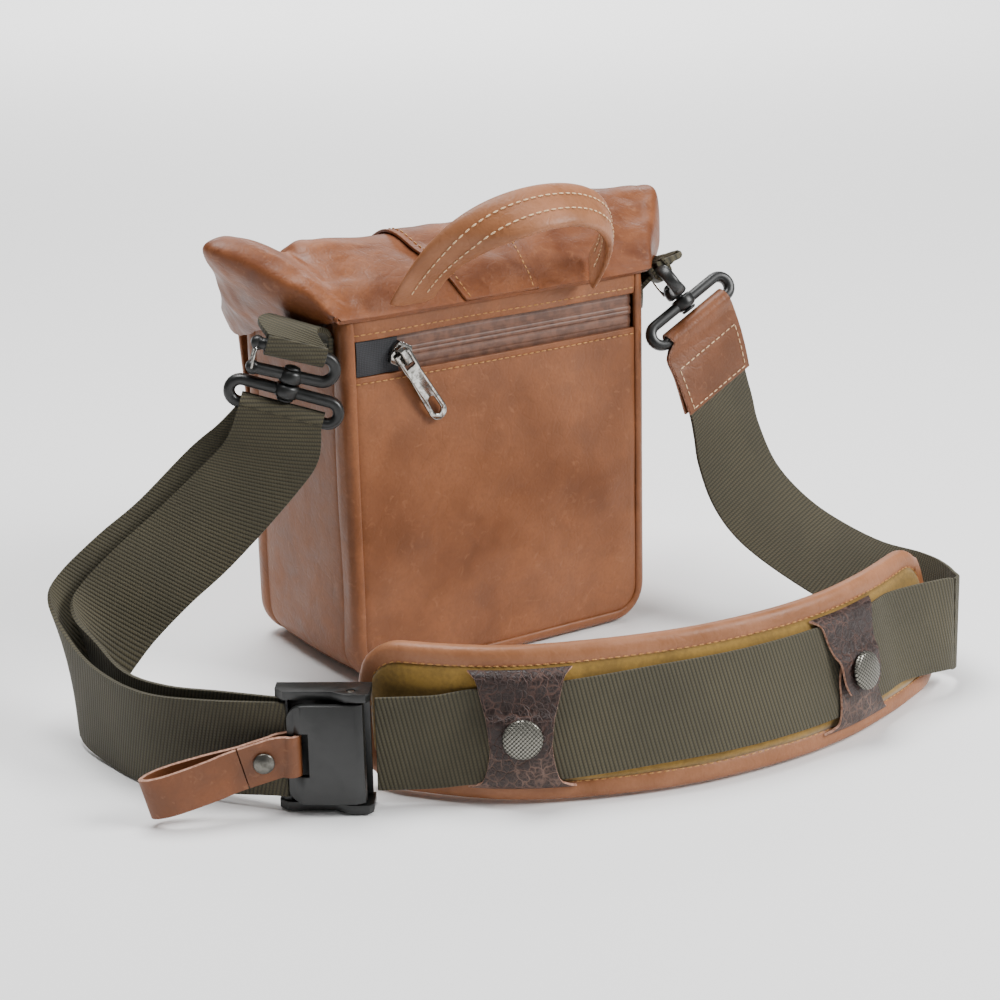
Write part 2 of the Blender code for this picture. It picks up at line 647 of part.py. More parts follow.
# ---------------------------------------------------------------- the webbing
def make_webbing():
    """The strap's four runs; each station is a point on its centre line and the direction across it."""
    ring_left, _ = swivel_frames("left")
    ring_right, _ = swivel_frames("right")
    near = ring_stations(ring_left, -1)
    near += [
        (-111.5, -38, 117, 0.77, -0.57, -0.29), (-119.5, -33.5, 105, 0.70, -0.60, -0.38), (-144, -23, 79, 0.55, -0.59, -0.59),
        (-163, -17, 63, 0.54, -0.56, -0.63), (-181, -13, 46, 0.52, -0.50, -0.69), (-192, -18, 34, 0.30, -0.25, -0.92),
        (-197, -34, 26, 0, 0, -1), (-197, -60, 21.5, 0, 0, -1), (-191, -86, 22.5, 0, 0, -1),
        (-178, -109, 24.5, 0, 0, -1), (-164.5, -129, 26, 0, 0, -1),
    ]
    add_object("webbing_left_inner", ribbon_mesh("near", near, WEBBING_WIDTH, WEBBING_THICKNESS), "olive_webbing")
    far = ring_stations(ring_left, 1)
    far += [
        (-111, -27, 119, 0.78, -0.56, -0.29), (-122, -21, 107.5, 0.70, -0.60, -0.40), (-147, -13, 82, 0.55, -0.59, -0.59),
        (-166, -7, 67, 0.54, -0.56, -0.63), (-186, -3, 50, 0.50, -0.48, -0.72), (-199, -8, 37, 0.28, -0.22, -0.93),
        (-205, -28, 24, 0, 0, -1), (-204.5, -57, 20.6, 0, 0, -1), (-199.5, -86, 21, 0, 0, -1),
        (-185.5, -110.5, 23, 0, 0, -1), (-169, -132.5, 25.5, 0, 0, -1),
    ]
    add_object("webbing_left_outer", ribbon_mesh("far", far, WEBBING_WIDTH, WEBBING_THICKNESS), "olive_webbing")


def ring_stations(frame, side):
    """Webbing round a ring's lower bar, from the top of the bar down one face; side -1 is the near face."""
    bend = RING_BAR_RADIUS + 0.6 + WEBBING_THICKNESS / 2
    bar = Vector((0, 0, -RING_HALF_HEIGHT))
    turn = frame.to_3x3()
    across = turn @ Vector((1, 0, 0))
    stations = []
    for angle in (81, 62, 41, 20, 0, -18):
        reach = Vector((0, side * math.cos(math.radians(angle)), math.sin(math.radians(angle)))) * bend
        point = turn @ (bar + reach) + frame.translation * 1000
        stations.append((*point, *across, FOLD_WIDTH))
    return stations


def make_rise():
    """Behind the pad's right end and up to the leather strap end."""
    stations = [
        (112.8, -59.3, 105.6, 0.91, 0.15, 0.37), (114.2, -61, 96, 0.93, 0.12, 0.33), (115, -64, 84, 0.94, 0.08, 0.32),
        (117, -73, 67, 0.95, 0.0, 0.30), (121, -86, 54, 0.92, -0.15, 0.35), (126.5, -103, 44.5, 0.86, -0.28, 0.42),
        (134, -130, 36, 0.74, -0.32, 0.58), (141, -158, 32, 0.45, -0.20, 0.87), (143.5, -180, 29, 0.12, 0.0, 0.99),
        (143.2, -187.5, 28.2, 0, 0, 1), (138.6, -193.6, 28, 0, 0, 1),
    ]
    mesh = ribbon_mesh("rise", stations, WEBBING_WIDTH, WEBBING_THICKNESS)
    add_object("webbing_right_rise", mesh, "olive_webbing")


def make_strap_end():
    """Stitched leather folded round the ring's lower bar, its two layers lying together below it."""
    frame, _ = swivel_frames("right")
    turn = frame.to_3x3()
    across = turn @ Vector((1, 0, 0))
    bar = Vector((0, 0, -RING_HALF_HEIGHT))
    thickness = 1.5
    bend = RING_BAR_RADIUS + 0.5 + thickness / 2
    layer = thickness / 2 + GAP / 2 + 0.05
    spine = [
        (105.2, -54.6, 137.0, 0.89, 0.03, 0.45), (107.6, -57.0, 128.0, 0.90, 0.06, 0.43),
        (109.8, -58.2, 119.0, 0.91, 0.1, 0.40), (112.1, -58.9, 109.4, 0.91, 0.15, 0.37),
    ]
    front = []
    back = []
    for i, station in enumerate(spine):
        behind = Vector(spine[max(i - 1, 0)][:3])
        ahead = Vector(spine[min(i + 1, len(spine) - 1)][:3])
        out = Vector(station[3:]).cross(ahead - behind).normalized()
        for stack, side in ((front, 1), (back, -1)):
            stack.append((*(Vector(station[:3]) + out * layer * side), *station[3:]))
    fold = []
    for k in range(9):
        angle = math.radians(-30 + 240 * k / 8)
        reach = Vector((0, -math.cos(angle), math.sin(angle))) * bend
        fold.append((*(turn @ (bar + reach) + frame.translation * 1000), *across, FOLD_WIDTH))
    near_first = front if front[0][1] < back[0][1] else back
    other = back if near_first is front else front
    stations = near_first[::-1] + fold + other
    mesh = ribbon_mesh("strap_end", stations, WEBBING_WIDTH + 3, thickness, steps=1)
    add_object("strap_end_leather", mesh, "tan_leather")


# ---------------------------------------------------------------- the shoulder pad
PAD_CURVE = [
    (-130.0, -134.0), (-118.0, -156.0), (-92.0, -185.0), (-60.0, -203.5), (-21.0, -216.5),
    (20.0, -221.0), (58.0, -218.0), (93.0, -208.0), (122.0, -193.5), (134.0, -185.5),
]


def pad_table():
    """The pad's front line in plan with running length, and that length in all."""
    path = smooth_path(PAD_CURVE, 6)
    lengths = [0.0]
    for a, b in zip(path, path[1:]):
        lengths.append(lengths[-1] + math.dist(a, b))
    return path, lengths, lengths[-1]


PAD_PATH, PAD_LENGTHS, PAD_LENGTH = pad_table()


def pad_point(along, height, out):
    """A point at a length along the pad, a height up its face and a distance out of it."""
    index = 0
    while index < len(PAD_LENGTHS) - 2 and PAD_LENGTHS[index + 1] < along:
        index += 1
    span = PAD_LENGTHS[index + 1] - PAD_LENGTHS[index]
    part = (along - PAD_LENGTHS[index]) / span
    a = Vector(PAD_PATH[index])
    b = Vector(PAD_PATH[index + 1])
    place = a.lerp(b, part)
    before = Vector(PAD_PATH[max(index - 1, 0)])
    after = Vector(PAD_PATH[min(index + 2, len(PAD_PATH) - 1)])
    tangent = (b - a).normalized().lerp(((after - a) if part > 0.5 else (b - before)).normalized(), abs(part - 0.5))
    tangent.normalize()
    front = Vector((tangent.y, -tangent.x))
    share = min(max(along / (PAD_LENGTH * 0.45), 0.0), 1.0)
    lean = PAD_LEAN * share * share * (3 - 2 * share)
    back = -front * height * math.sin(lean)
    lift = height * math.cos(lean)
    outward = Vector((front.x * math.cos(lean), front.y * math.cos(lean), math.sin(lean))) * out
    return Vector((place.x + back.x, place.y + back.y, lift)) + outward


def pad_half_height(along, inset):
    """Half of the pad's height at a length along it, with round corners at both ends."""
    half = PAD_TOTAL_HEIGHT / 2 - inset
    near_end = min(along, PAD_LENGTH - along) - inset
    corner = 22.0 - inset
    if near_end >= corner:
        return half
    fall = math.sqrt(max(corner ** 2 - (corner - near_end) ** 2, 0.0))
    return half - corner + fall


def pad_slab(name, inset, out_low, out_high, finish):
    """A layer of the pad: a loft of upright sections along the pad's curve."""
    bm = bmesh.new()
    count = 22
    sections = []
    for k in range(count + 1):
        ease = 0.5 - 0.5 * math.cos(math.pi * k / count)
        along = inset + (PAD_LENGTH - 2 * inset) * (0.35 * ease + 0.65 * k / count)
        half = pad_half_height(along, inset)
        ring = []
        for height, out in ((-half, out_low), (-half, out_high), (half, out_high), (half, out_low)):
            ring.append(bm.verts.new(mm(pad_point(along, PAD_CENTRE_HEIGHT + height, out))))
        sections.append(ring)
    for near, far in zip(sections, sections[1:]):
        for k in range(4):
            bm.faces.new((near[k], near[(k + 1) % 4], far[(k + 1) % 4], far[k]))
    bm.faces.new(sections[0][::-1])
    bm.faces.new(sections[-1])
    return add_object(name, mesh_from(bm, name), finish)


def make_pad():
    inset = 2 * PAD_BINDING_RADIUS + 1.1
    pad_slab("pad_cushion", inset, -PAD_THICKNESS, 0.0, "tan_leather")
    pad_slab("pad_facing", inset, 0.35, 1.25, "felt")
    outline = []
    inset = PAD_BINDING_RADIUS
    count = 22
    for sign in (1, -1):
        order = range(count + 1) if sign == 1 else range(count, -1, -1)
        for k in order:
            ease = 0.5 - 0.5 * math.cos(math.pi * k / count)
            along = inset + (PAD_LENGTH - 2 * inset) * (0.35 * ease + 0.65 * k / count)
            half = pad_half_height(along, inset)
            outline.append(tuple(pad_point(along, PAD_CENTRE_HEIGHT + sign * half, -PAD_THICKNESS / 2)))
    add_object("pad_binding", tube_mesh("pad_binding", outline, PAD_BINDING_RADIUS, closed=True), "tan_leather")


def make_pad_webbing():
    """From the adjuster across the pad's face to the turn at its right end."""
    centre = Vector(ADJUSTER_CENTRE)
    along = Vector(ADJUSTER_ALONG).normalized()
    out = Vector((-along.y, along.x, 0)) * -1
    stations = [(*(centre + along * 20.5 - out * ADJUSTER_WEBBING_BACK), 0, 0, 1)]
    stations += [(-121.5, -162.8, 26.3, 0, 0, 1), (-113.0, -169.0, 26.9, 0, 0, 1)]
    for length in range(52, int(PAD_LENGTH) - 14, 18):
        height = 28.9 + 4.2 * min((length - 52) / 80.0, 1.0)
        low = pad_point(length, height - 10, 3.05)
        high = pad_point(length, height + 10, 3.05)
        stations.append((*((low + high) / 2), *(high - low).normalized()))
    stations += [(128.5, -196.5, 29.6, 0, 0.08, 0.99), (134.6, -195.8, 28.6, 0, 0.0, 1)]
    mesh = ribbon_mesh("pad_run", stations, WEBBING_WIDTH, WEBBING_THICKNESS)
    add_object("webbing_over_pad", mesh, "olive_webbing")


def keeper_width(share):
    """Half width of a keeper flap, waisted toward its free end: 0 at the sewn end, 1 at the free end."""
    return KEEPER_HALF_WIDTH + (KEEPER_WAIST_HALF - KEEPER_HALF_WIDTH) * math.sin(share * math.pi / 2)


def keeper_flap(name, along, rows, hinge_height, hinge_out):
    """A leather flap on the pad's face; rows are (height, how far out), from its sewn edge to its free edge."""
    bm = bmesh.new()
    columns = 4
    thickness = 1.3
    sheets = []
    for lift in (0.0, thickness):
        grid = []
        for i, (height, out) in enumerate(rows):
            half = keeper_width(i / (len(rows) - 1))
            if i == len(rows) - 1:
                half *= 0.8
            grid.append([
                bm.verts.new(mm(pad_point(along + half * (2 * j / columns - 1), height, out + lift)))
                for j in range(columns + 1)
            ])
        sheets.append(grid)
    for grid in sheets:
        for a, b in zip(grid, grid[1:]):
            for j in range(columns):
                bm.faces.new((a[j], a[j + 1], b[j + 1], b[j]))
    under, over = sheets
    rim_under = list(under[0]) + [r[-1] for r in under[1:]] + list(under[-1][-2::-1]) + [r[0] for r in under[-2:0:-1]]
    rim_over = list(over[0]) + [r[-1] for r in over[1:]] + list(over[-1][-2::-1]) + [r[0] for r in over[-2:0:-1]]
    for k in range(len(rim_under)):
        n = (k + 1) % len(rim_under)
        bm.faces.new((rim_under[k], rim_under[n], rim_over[n], rim_over[k]))
    hinge = pad_point(along, hinge_height, hinge_out)
    return add_object(name, mesh_from(bm, name), "dark_leather", origin=hinge)


SNAP_HEIGHT = 30.0


def make_keeper(side, along):
    upper_rows = [(57.5, 1.8), (55.0, 3.6), (52.5, 4.4), (45.0, 4.5), (39.5, 5.6), (36.0, 7.5), (29.0, 7.7), (21.5, 7.5)]
    lower_rows = [(5.0, 1.8), (5.9, 3.9), (8.6, 4.4), (20.0, 4.4), (34.0, 4.4)]
    keeper_flap("keeper_upper_" + side, along, upper_rows, 57.5, 2.45)
    keeper_flap("keeper_lower_" + side, along, lower_rows, 5.0, 2.45)
    base = pad_point(along, SNAP_HEIGHT, 0.0)
    out = (pad_point(along, SNAP_HEIGHT, 10.0) - base).normalized()
    sideways = pad_point(along + 5, SNAP_HEIGHT, 0.0) - pad_point(along - 5, SNAP_HEIGHT, 0.0)
    frame = unit_frame(base, sideways, out)
    cap = cylinder_mesh("snap_cap", 8.0, 9.5, 12.2, 20, bevel=0.9)
    add_object("snap_cap_" + side, cap, "pewter", frame=frame)
    stud = cylinder_mesh("snap_stud", 5.0, 6.05, 7.05, 16)
    add_object("snap_stud_" + side, stud, "pewter", frame=frame)


# ---------------------------------------------------------------- the strap adjuster
ADJUSTER_WEBBING_BACK = 3.4
LEVER_PIN = (12.0, 2.5)
LEVER_HALF_HEIGHT = 21.0
TAB_PIVOT = (-12.25, 6.3)
TAB_RIVET = (11.0, -1.9)


def adjuster_frame():
    """Local X along the strap, local Y out of its face, local Z down."""
    along = Vector(ADJUSTER_ALONG).normalized()
    out = Vector((along.y, -along.x, 0))
    frame = Matrix((along, out, along.cross(out))).transposed().to_4x4()
    frame.translation = mm(ADJUSTER_CENTRE)
    return frame


def make_adjuster():
    frame = adjuster_frame()
    plate = box_mesh("adjuster_body", (-18.0, 18.5), (-6.5, -4.6), (-24.5, 24.5))
    body = add_object("adjuster_frame", plate, "black_plastic", frame=frame)
    flange = [(-18.5, -6.5), (-18.5, 0.0), (-15.0, 3.6), (4.0, 3.6), (10.0, 7.0), (18.0, 7.0), (19.5, 5.0), (19.5, -6.5)]
    for label, z in (("bottom", (-25.5, -22.0)), ("top", (22.0, 25.5))):
        cheek = prism_mesh("cheek", flange, *z, axis="Z")
        boolean(body, cutter("adjuster_cheek_" + label, cheek, frame), "UNION")
    bar = box_mesh("end_bar", (-16.5, -13.5), (-1.6, 1.0), (-23.0, 23.0))
    boolean(body, cutter("adjuster_end_bar", bar, frame), "UNION")
    pin = cylinder_mesh("lever_pin", 1.55, -25.3, 25.3, 14, LEVER_PIN)
    for label, z in (("low", (-26.8, -20.0)), ("high", (20.0, 26.8))):
        bore = cylinder_mesh("pin_bore", 1.9, *z, 14, LEVER_PIN)
        boolean(body, cutter("adjuster_bore_" + label, bore, frame), "DIFFERENCE")
    add_object("lever_pin", pin, "pewter", frame=frame)


def make_lever():
    """The cam lever: a plate over the webbing with a round nose on its pin and a slot for the pull tab."""
    frame = adjuster_frame()
    outline = [(-13.5, 5.3), (-13.5, 7.3), (-10.4, 7.3), (-8.0, 8.4), (13.0, 8.4), (16.6, 6.6), (17.0, 3.4)]
    outline += arc((LEVER_PIN[0], LEVER_PIN[1]), 4.6, -20, -160, 6)
    outline += [(6.8, 5.3)]
    mesh = prism_mesh("lever", outline, -LEVER_HALF_HEIGHT, LEVER_HALF_HEIGHT, "Z")
    axis = Matrix.Translation(mm((*LEVER_PIN, 0)))
    mesh.transform(axis.inverted())
    lever = add_object("adjuster_lever", mesh, "black_plastic", frame=frame @ axis)
    bore = cylinder_mesh("lever_bore", 1.9, -26, 26, 14, LEVER_PIN)
    boolean(lever, cutter("lever_bore", bore, frame), "DIFFERENCE")
    slot = box_mesh("lever_slot", (-11.0, -5.2), (3.0, 10.0), (-9.2, 9.2))
    boolean(lever, cutter("lever_slot", slot, frame), "DIFFERENCE")


def tab_frame():
    """The pull tab's own frame on the lever's slotted edge: local X down its length, local Z up its width."""
    start = adjuster_frame() @ mm((*TAB_PIVOT, 0.0))
    down = Vector((-0.904, 0.438, 0.0)).normalized()
    return unit_frame(start * 1000, down, (0, 0, 1))


def make_pull_tab():
    """A leather strip looped through the lever's slot, riveted, and left open as a loop at its far end."""
    frame = tab_frame()
    flat = 1.3
    start = [(19.0, flat), (12.0, flat), (6.6, flat), (4.6, 1.8)]
    eye = arc((0.0, 0.0), 3.3, 48, 312, 8)
    loop = [(4.6, -1.8), (6.6, -flat), (12.0, -flat), (20.0, -flat), (32.0, -flat - 2.2), (46.0, -flat - 3.4)]
    loop += [(54.0, -flat - 2.0), (57.5, 0.0), (54.0, flat + 2.0), (46.0, flat + 3.4), (32.0, flat + 2.2)]
    loop += [(25.0, flat + 0.6), (19.6, flat)]
    stations = [(x, y, -0.27 * max(x - 4, 0), 0.26 if x > 4 else 0, 0, 1) for x, y in start + eye + loop]
    tab = add_object("pull_tab", ribbon_mesh("pull_tab", stations, 17.0, 2.0, steps=1), "tan_leather", frame=frame)
    hole = cylinder_mesh("tab_hole", 1.9, -8, 8, 14, TAB_RIVET, "Y")
    boolean(tab, cutter("tab_hole", hole, frame), "DIFFERENCE")
    shank = cylinder_mesh("tab_rivet", 1.5, -3.6, 3.6, 14, TAB_RIVET, "Y")
    rivet = add_object("pull_tab_rivet", shank, "pewter", frame=frame)
    for label, y in (("front", (2.7, 4.4)), ("back", (-4.0, -2.7))):
        head = cylinder_mesh("tab_rivet_head", 4.2, *y, 18, TAB_RIVET, "Y", bevel=0.5)
        boolean(rivet, cutter("tab_rivet_head_" + label, head, frame), "UNION")


# ---------------------------------------------------------------- build
def build():
    clear_scene()
    make_base_panel()
    make_side_panels()
    make_front_and_back()
    make_piping()
    make_zip()
    make_zip_slider()
    make_zip_puller()
    make_pocket_bag()
    make_base_board()
    make_liner()
    make_dividers()
    make_lid()
    make_lid_band()
    make_front_flap()
    make_clasp()
    make_handle()
    for side in ("left", "right"):
        make_ring(side)
        make_hook(side)
        make_swivel_rivet(side)
        make_gate(side)
        make_tab_loop(side)
        make_tab_anchor(side)
    make_webbing()
    make_rise()
    make_strap_end()
    make_pad()
    make_pad_webbing()
    make_keeper("left", 71.0)
    make_keeper("right", 229.0)
    make_adjuster()
    make_lever()
    make_pull_tab()
    bpy.context.view_layer.update()


build()
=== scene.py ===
import json
import math

import bmesh
import bpy
from mathutils import Matrix, Vector, noise
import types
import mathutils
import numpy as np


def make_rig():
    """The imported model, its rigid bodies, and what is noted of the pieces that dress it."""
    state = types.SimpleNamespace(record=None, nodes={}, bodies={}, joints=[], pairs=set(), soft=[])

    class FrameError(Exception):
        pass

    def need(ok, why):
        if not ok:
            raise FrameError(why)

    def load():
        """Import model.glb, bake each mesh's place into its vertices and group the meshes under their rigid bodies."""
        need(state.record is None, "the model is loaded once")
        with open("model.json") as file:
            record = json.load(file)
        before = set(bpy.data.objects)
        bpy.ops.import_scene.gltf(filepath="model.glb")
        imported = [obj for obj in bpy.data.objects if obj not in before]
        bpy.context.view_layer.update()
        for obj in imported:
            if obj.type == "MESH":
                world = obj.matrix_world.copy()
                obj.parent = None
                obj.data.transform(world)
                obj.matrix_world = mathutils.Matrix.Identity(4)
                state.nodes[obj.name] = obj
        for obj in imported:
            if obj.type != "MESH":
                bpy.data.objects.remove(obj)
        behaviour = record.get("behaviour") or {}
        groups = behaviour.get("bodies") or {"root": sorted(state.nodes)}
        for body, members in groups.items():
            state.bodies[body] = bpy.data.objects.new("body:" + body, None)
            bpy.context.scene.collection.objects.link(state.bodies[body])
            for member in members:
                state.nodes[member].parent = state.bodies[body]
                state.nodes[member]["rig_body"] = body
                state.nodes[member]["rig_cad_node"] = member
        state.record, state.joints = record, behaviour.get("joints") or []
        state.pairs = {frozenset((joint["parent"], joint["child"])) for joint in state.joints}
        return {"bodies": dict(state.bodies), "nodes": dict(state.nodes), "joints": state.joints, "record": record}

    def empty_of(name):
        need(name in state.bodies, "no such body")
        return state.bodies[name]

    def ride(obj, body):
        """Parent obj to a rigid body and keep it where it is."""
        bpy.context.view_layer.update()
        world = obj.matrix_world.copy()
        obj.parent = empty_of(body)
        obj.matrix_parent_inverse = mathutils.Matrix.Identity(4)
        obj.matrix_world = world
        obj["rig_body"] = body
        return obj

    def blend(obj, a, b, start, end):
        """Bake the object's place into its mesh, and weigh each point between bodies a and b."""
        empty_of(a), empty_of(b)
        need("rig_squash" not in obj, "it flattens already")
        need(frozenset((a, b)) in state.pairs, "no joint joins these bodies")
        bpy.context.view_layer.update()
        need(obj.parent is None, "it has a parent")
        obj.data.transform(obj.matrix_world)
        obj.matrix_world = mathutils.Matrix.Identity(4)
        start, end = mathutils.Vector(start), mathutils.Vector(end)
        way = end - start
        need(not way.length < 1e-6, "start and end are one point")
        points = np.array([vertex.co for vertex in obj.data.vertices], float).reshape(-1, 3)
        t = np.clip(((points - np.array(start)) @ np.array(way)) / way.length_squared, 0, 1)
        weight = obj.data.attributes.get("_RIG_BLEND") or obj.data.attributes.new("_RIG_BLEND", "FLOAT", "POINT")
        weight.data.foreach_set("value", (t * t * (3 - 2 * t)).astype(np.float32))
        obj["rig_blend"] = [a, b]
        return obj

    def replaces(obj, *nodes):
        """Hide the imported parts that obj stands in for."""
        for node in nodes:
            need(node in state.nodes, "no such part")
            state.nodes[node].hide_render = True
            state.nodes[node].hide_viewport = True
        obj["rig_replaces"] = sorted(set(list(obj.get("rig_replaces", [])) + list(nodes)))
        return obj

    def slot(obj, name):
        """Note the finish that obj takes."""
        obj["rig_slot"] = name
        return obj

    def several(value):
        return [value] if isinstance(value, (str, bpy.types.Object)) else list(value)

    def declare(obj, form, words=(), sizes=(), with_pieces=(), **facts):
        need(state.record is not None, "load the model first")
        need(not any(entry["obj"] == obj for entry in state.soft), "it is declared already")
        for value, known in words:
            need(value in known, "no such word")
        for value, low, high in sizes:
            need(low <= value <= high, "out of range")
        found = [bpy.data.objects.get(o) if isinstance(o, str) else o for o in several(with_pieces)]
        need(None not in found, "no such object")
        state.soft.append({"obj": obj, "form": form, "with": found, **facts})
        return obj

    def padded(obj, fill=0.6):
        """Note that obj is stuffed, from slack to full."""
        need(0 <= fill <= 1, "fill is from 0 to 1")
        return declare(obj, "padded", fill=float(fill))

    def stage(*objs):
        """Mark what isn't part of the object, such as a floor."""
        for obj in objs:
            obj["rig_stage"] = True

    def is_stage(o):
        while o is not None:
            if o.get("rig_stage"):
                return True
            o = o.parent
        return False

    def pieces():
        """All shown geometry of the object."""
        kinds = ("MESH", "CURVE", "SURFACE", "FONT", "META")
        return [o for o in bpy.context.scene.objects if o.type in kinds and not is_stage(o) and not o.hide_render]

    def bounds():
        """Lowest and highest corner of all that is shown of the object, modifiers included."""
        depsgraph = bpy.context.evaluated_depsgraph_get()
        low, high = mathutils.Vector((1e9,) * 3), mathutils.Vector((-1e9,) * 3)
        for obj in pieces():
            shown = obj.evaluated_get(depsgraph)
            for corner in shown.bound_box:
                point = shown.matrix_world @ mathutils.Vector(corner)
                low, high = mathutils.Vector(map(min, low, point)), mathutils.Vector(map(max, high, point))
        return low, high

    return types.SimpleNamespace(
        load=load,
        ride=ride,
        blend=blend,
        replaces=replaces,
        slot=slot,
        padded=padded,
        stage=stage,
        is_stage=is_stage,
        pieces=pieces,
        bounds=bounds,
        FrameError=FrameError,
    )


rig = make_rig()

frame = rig.load()
CAD_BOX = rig.bounds()

# A leather camera bag with a webbing shoulder strap, in the frame of its CAD parts.
# Sizes are in millimetres and mm() turns them to metres. The zip pocket faces -Y, the flap +Y.


# ---------------- small tools
def mm(value):
    """A length, or a point, in millimetres as metres."""
    if isinstance(value, (int, float)):
        return value * 0.001
    return Vector(value) * 0.001


def colour(code):
    """An sRGB hex colour as linear RGBA."""
    parts = [int(code[i:i + 2], 16) / 255 for i in (1, 3, 5)]
    return (*[c / 12.92 if c <= 0.04045 else ((c + 0.055) / 1.055) ** 2.4 for c in parts], 1.0)


def ripple(point, size, height):
    """An uneven rise and fall of cloth or leather, with lumps of a size in mm."""
    return noise.noise(Vector(point) / size) * height


def held(value):
    """A value kept between 0 and 1."""
    return min(max(value, 0.0), 1.0)


def ease(share):
    """A share from 0 to 1 that starts and stops softly."""
    return share * share * (3 - 2 * share)


def corner_inset(rise, radius):
    """How far a round corner stands in from its side at a rise above its end."""
    return radius - math.sqrt(max(radius ** 2 - (radius - rise) ** 2, 0.0)) if rise < radius else 0.0


def smooth_path(points, steps):
    """Points on a Catmull-Rom curve through the given points, which may have any number of values."""
    values = [tuple(p) for p in points]
    last = len(values) - 1
    path = []
    for i in range(last):
        four = (values[max(i - 1, 0)], values[i], values[i + 1], values[min(i + 2, last)])
        for k in range(steps):
            t = k / steps
            path.append(tuple(
                0.5 * (2 * b + (c - a) * t + (2 * a - 5 * b + 4 * c - d) * t * t + (3 * b - a - 3 * c + d) * t ** 3)
                for a, b, c, d in zip(*four)
            ))
    path.append(values[-1])
    return path


def arc(centre, radius, start, end, count):
    """Points on an arc in a plane, angles in degrees."""
    turns = [math.radians(start + (end - start) * k / count) for k in range(count + 1)]
    return [(centre[0] + radius * math.cos(t), centre[1] + radius * math.sin(t)) for t in turns]


def unit_frame(centre, along, up):
    """Local X along a piece and local Z as near as can be to up, at a centre in mm."""
    x = Vector(along).normalized()
    z = Vector(up)
    z = (z - x * z.dot(x)).normalized()
    turned = Matrix((x, z.cross(x), z)).transposed().to_4x4()
    turned.translation = mm(centre)
    return turned


def new_object(name, data):
    made = bpy.data.objects.new(name, data)
    bpy.context.scene.collection.objects.link(made)
    return made


# ---------------- finishes
class Finish:
    """A material being made: its node tree, its shader and the piece's own coordinates."""

    SOCKETS = {
        "base": "Base Color", "rough": "Roughness", "metal": "Metallic", "ior": "IOR",
        "gloss": "Specular IOR Level", "sheen": "Sheen Weight",
    }

    def __init__(self, name, **values):
        self.made = bpy.data.materials.new(name)
        self.made.use_nodes = True
        self.tree = self.made.node_tree
        self.shader = self.tree.nodes["Principled BSDF"]
        self.coords = self.node("ShaderNodeTexCoord").outputs
        self.place = self.coords["Object"]
        self.shade(**values)

    def put(self, socket, value):
        """Another node's output, a hex colour or a number, put into a socket."""
        if isinstance(value, bpy.types.NodeSocket):
            self.tree.links.new(value, socket)
        else:
            socket.default_value = colour(value) if isinstance(value, str) else value

    def node(self, kind, inputs=None, **settings):
        made = self.tree.nodes.new(kind)
        for key, value in settings.items():
            setattr(made, key, value)
        for key, value in (inputs or {}).items():
            self.put(made.inputs[key], value)
        return made

    def shade(self, **values):
        for key, value in values.items():
            self.put(self.shader.inputs[self.SOCKETS[key]], value)

    def mix(self, share, first, second):
        return self.node("ShaderNodeMix", {0: share, 6: first, 7: second}, data_type="RGBA").outputs[2]

    def math(self, operation, first, second=0.0):
        return self.node("ShaderNodeMath", {0: first, 1: second}, operation=operation).outputs[0]

    def times(self, first, second):
        return self.math("MULTIPLY", first, second)

    def ribs(self, value, turns):
        """Rounded ribs, one to every pi of a value times turns."""
        return self.math("ABSOLUTE", self.math("SINE", self.times(value, turns)))

    def spread(self, value, low, high, start=0.0, end=1.0):
        """A value between low and high stretched to start and end, and held there outside them."""
        return self.node("ShaderNodeMapRange", {0: value, 1: low, 2: high, 3: start, 4: end}).outputs[0]

    def split(self, source):
        return self.node("ShaderNodeSeparateXYZ", {0: self.coords[source]}).outputs

    def cloud(self, size, detail=3.0, warp=0.0, output="Fac"):
        """Soft noise with lumps of a size in mm."""
        inputs = {"Vector": self.place, "Scale": 1000 / size, "Detail": detail, "Distortion": warp}
        return self.node("ShaderNodeTexNoise", inputs).outputs[output]

    def pushed(self, size, reach, detail=3.0):
        """The piece's coordinates pushed about by a reach in metres, for lines that wander."""
        push = self.cloud(size, detail, output="Color")
        moved = self.node("ShaderNodeVectorMath", {0: push, 3: reach}, operation="SCALE").outputs[0]
        return self.node("ShaderNodeVectorMath", {0: self.place, 1: moved}).outputs[0]

    def cells(self, size, place, feature="DISTANCE_TO_EDGE"):
        """Distances in a pattern of cells of a size in mm."""
        inputs = {"Vector": place, "Scale": 1000 / size}
        return self.node("ShaderNodeTexVoronoi", inputs, feature=feature).outputs["Distance"]

    def bump(self, height, depth, strength):
        """Relief of a depth in mm from a height between 0 and 1, over any relief already there."""
        inputs = {"Height": height, "Distance": mm(depth), "Strength": strength}
        normal = self.shader.inputs["Normal"]
        if normal.is_linked:
            inputs["Normal"] = normal.links[0].from_socket
        self.put(normal, self.node("ShaderNodeBump", inputs).outputs[0])


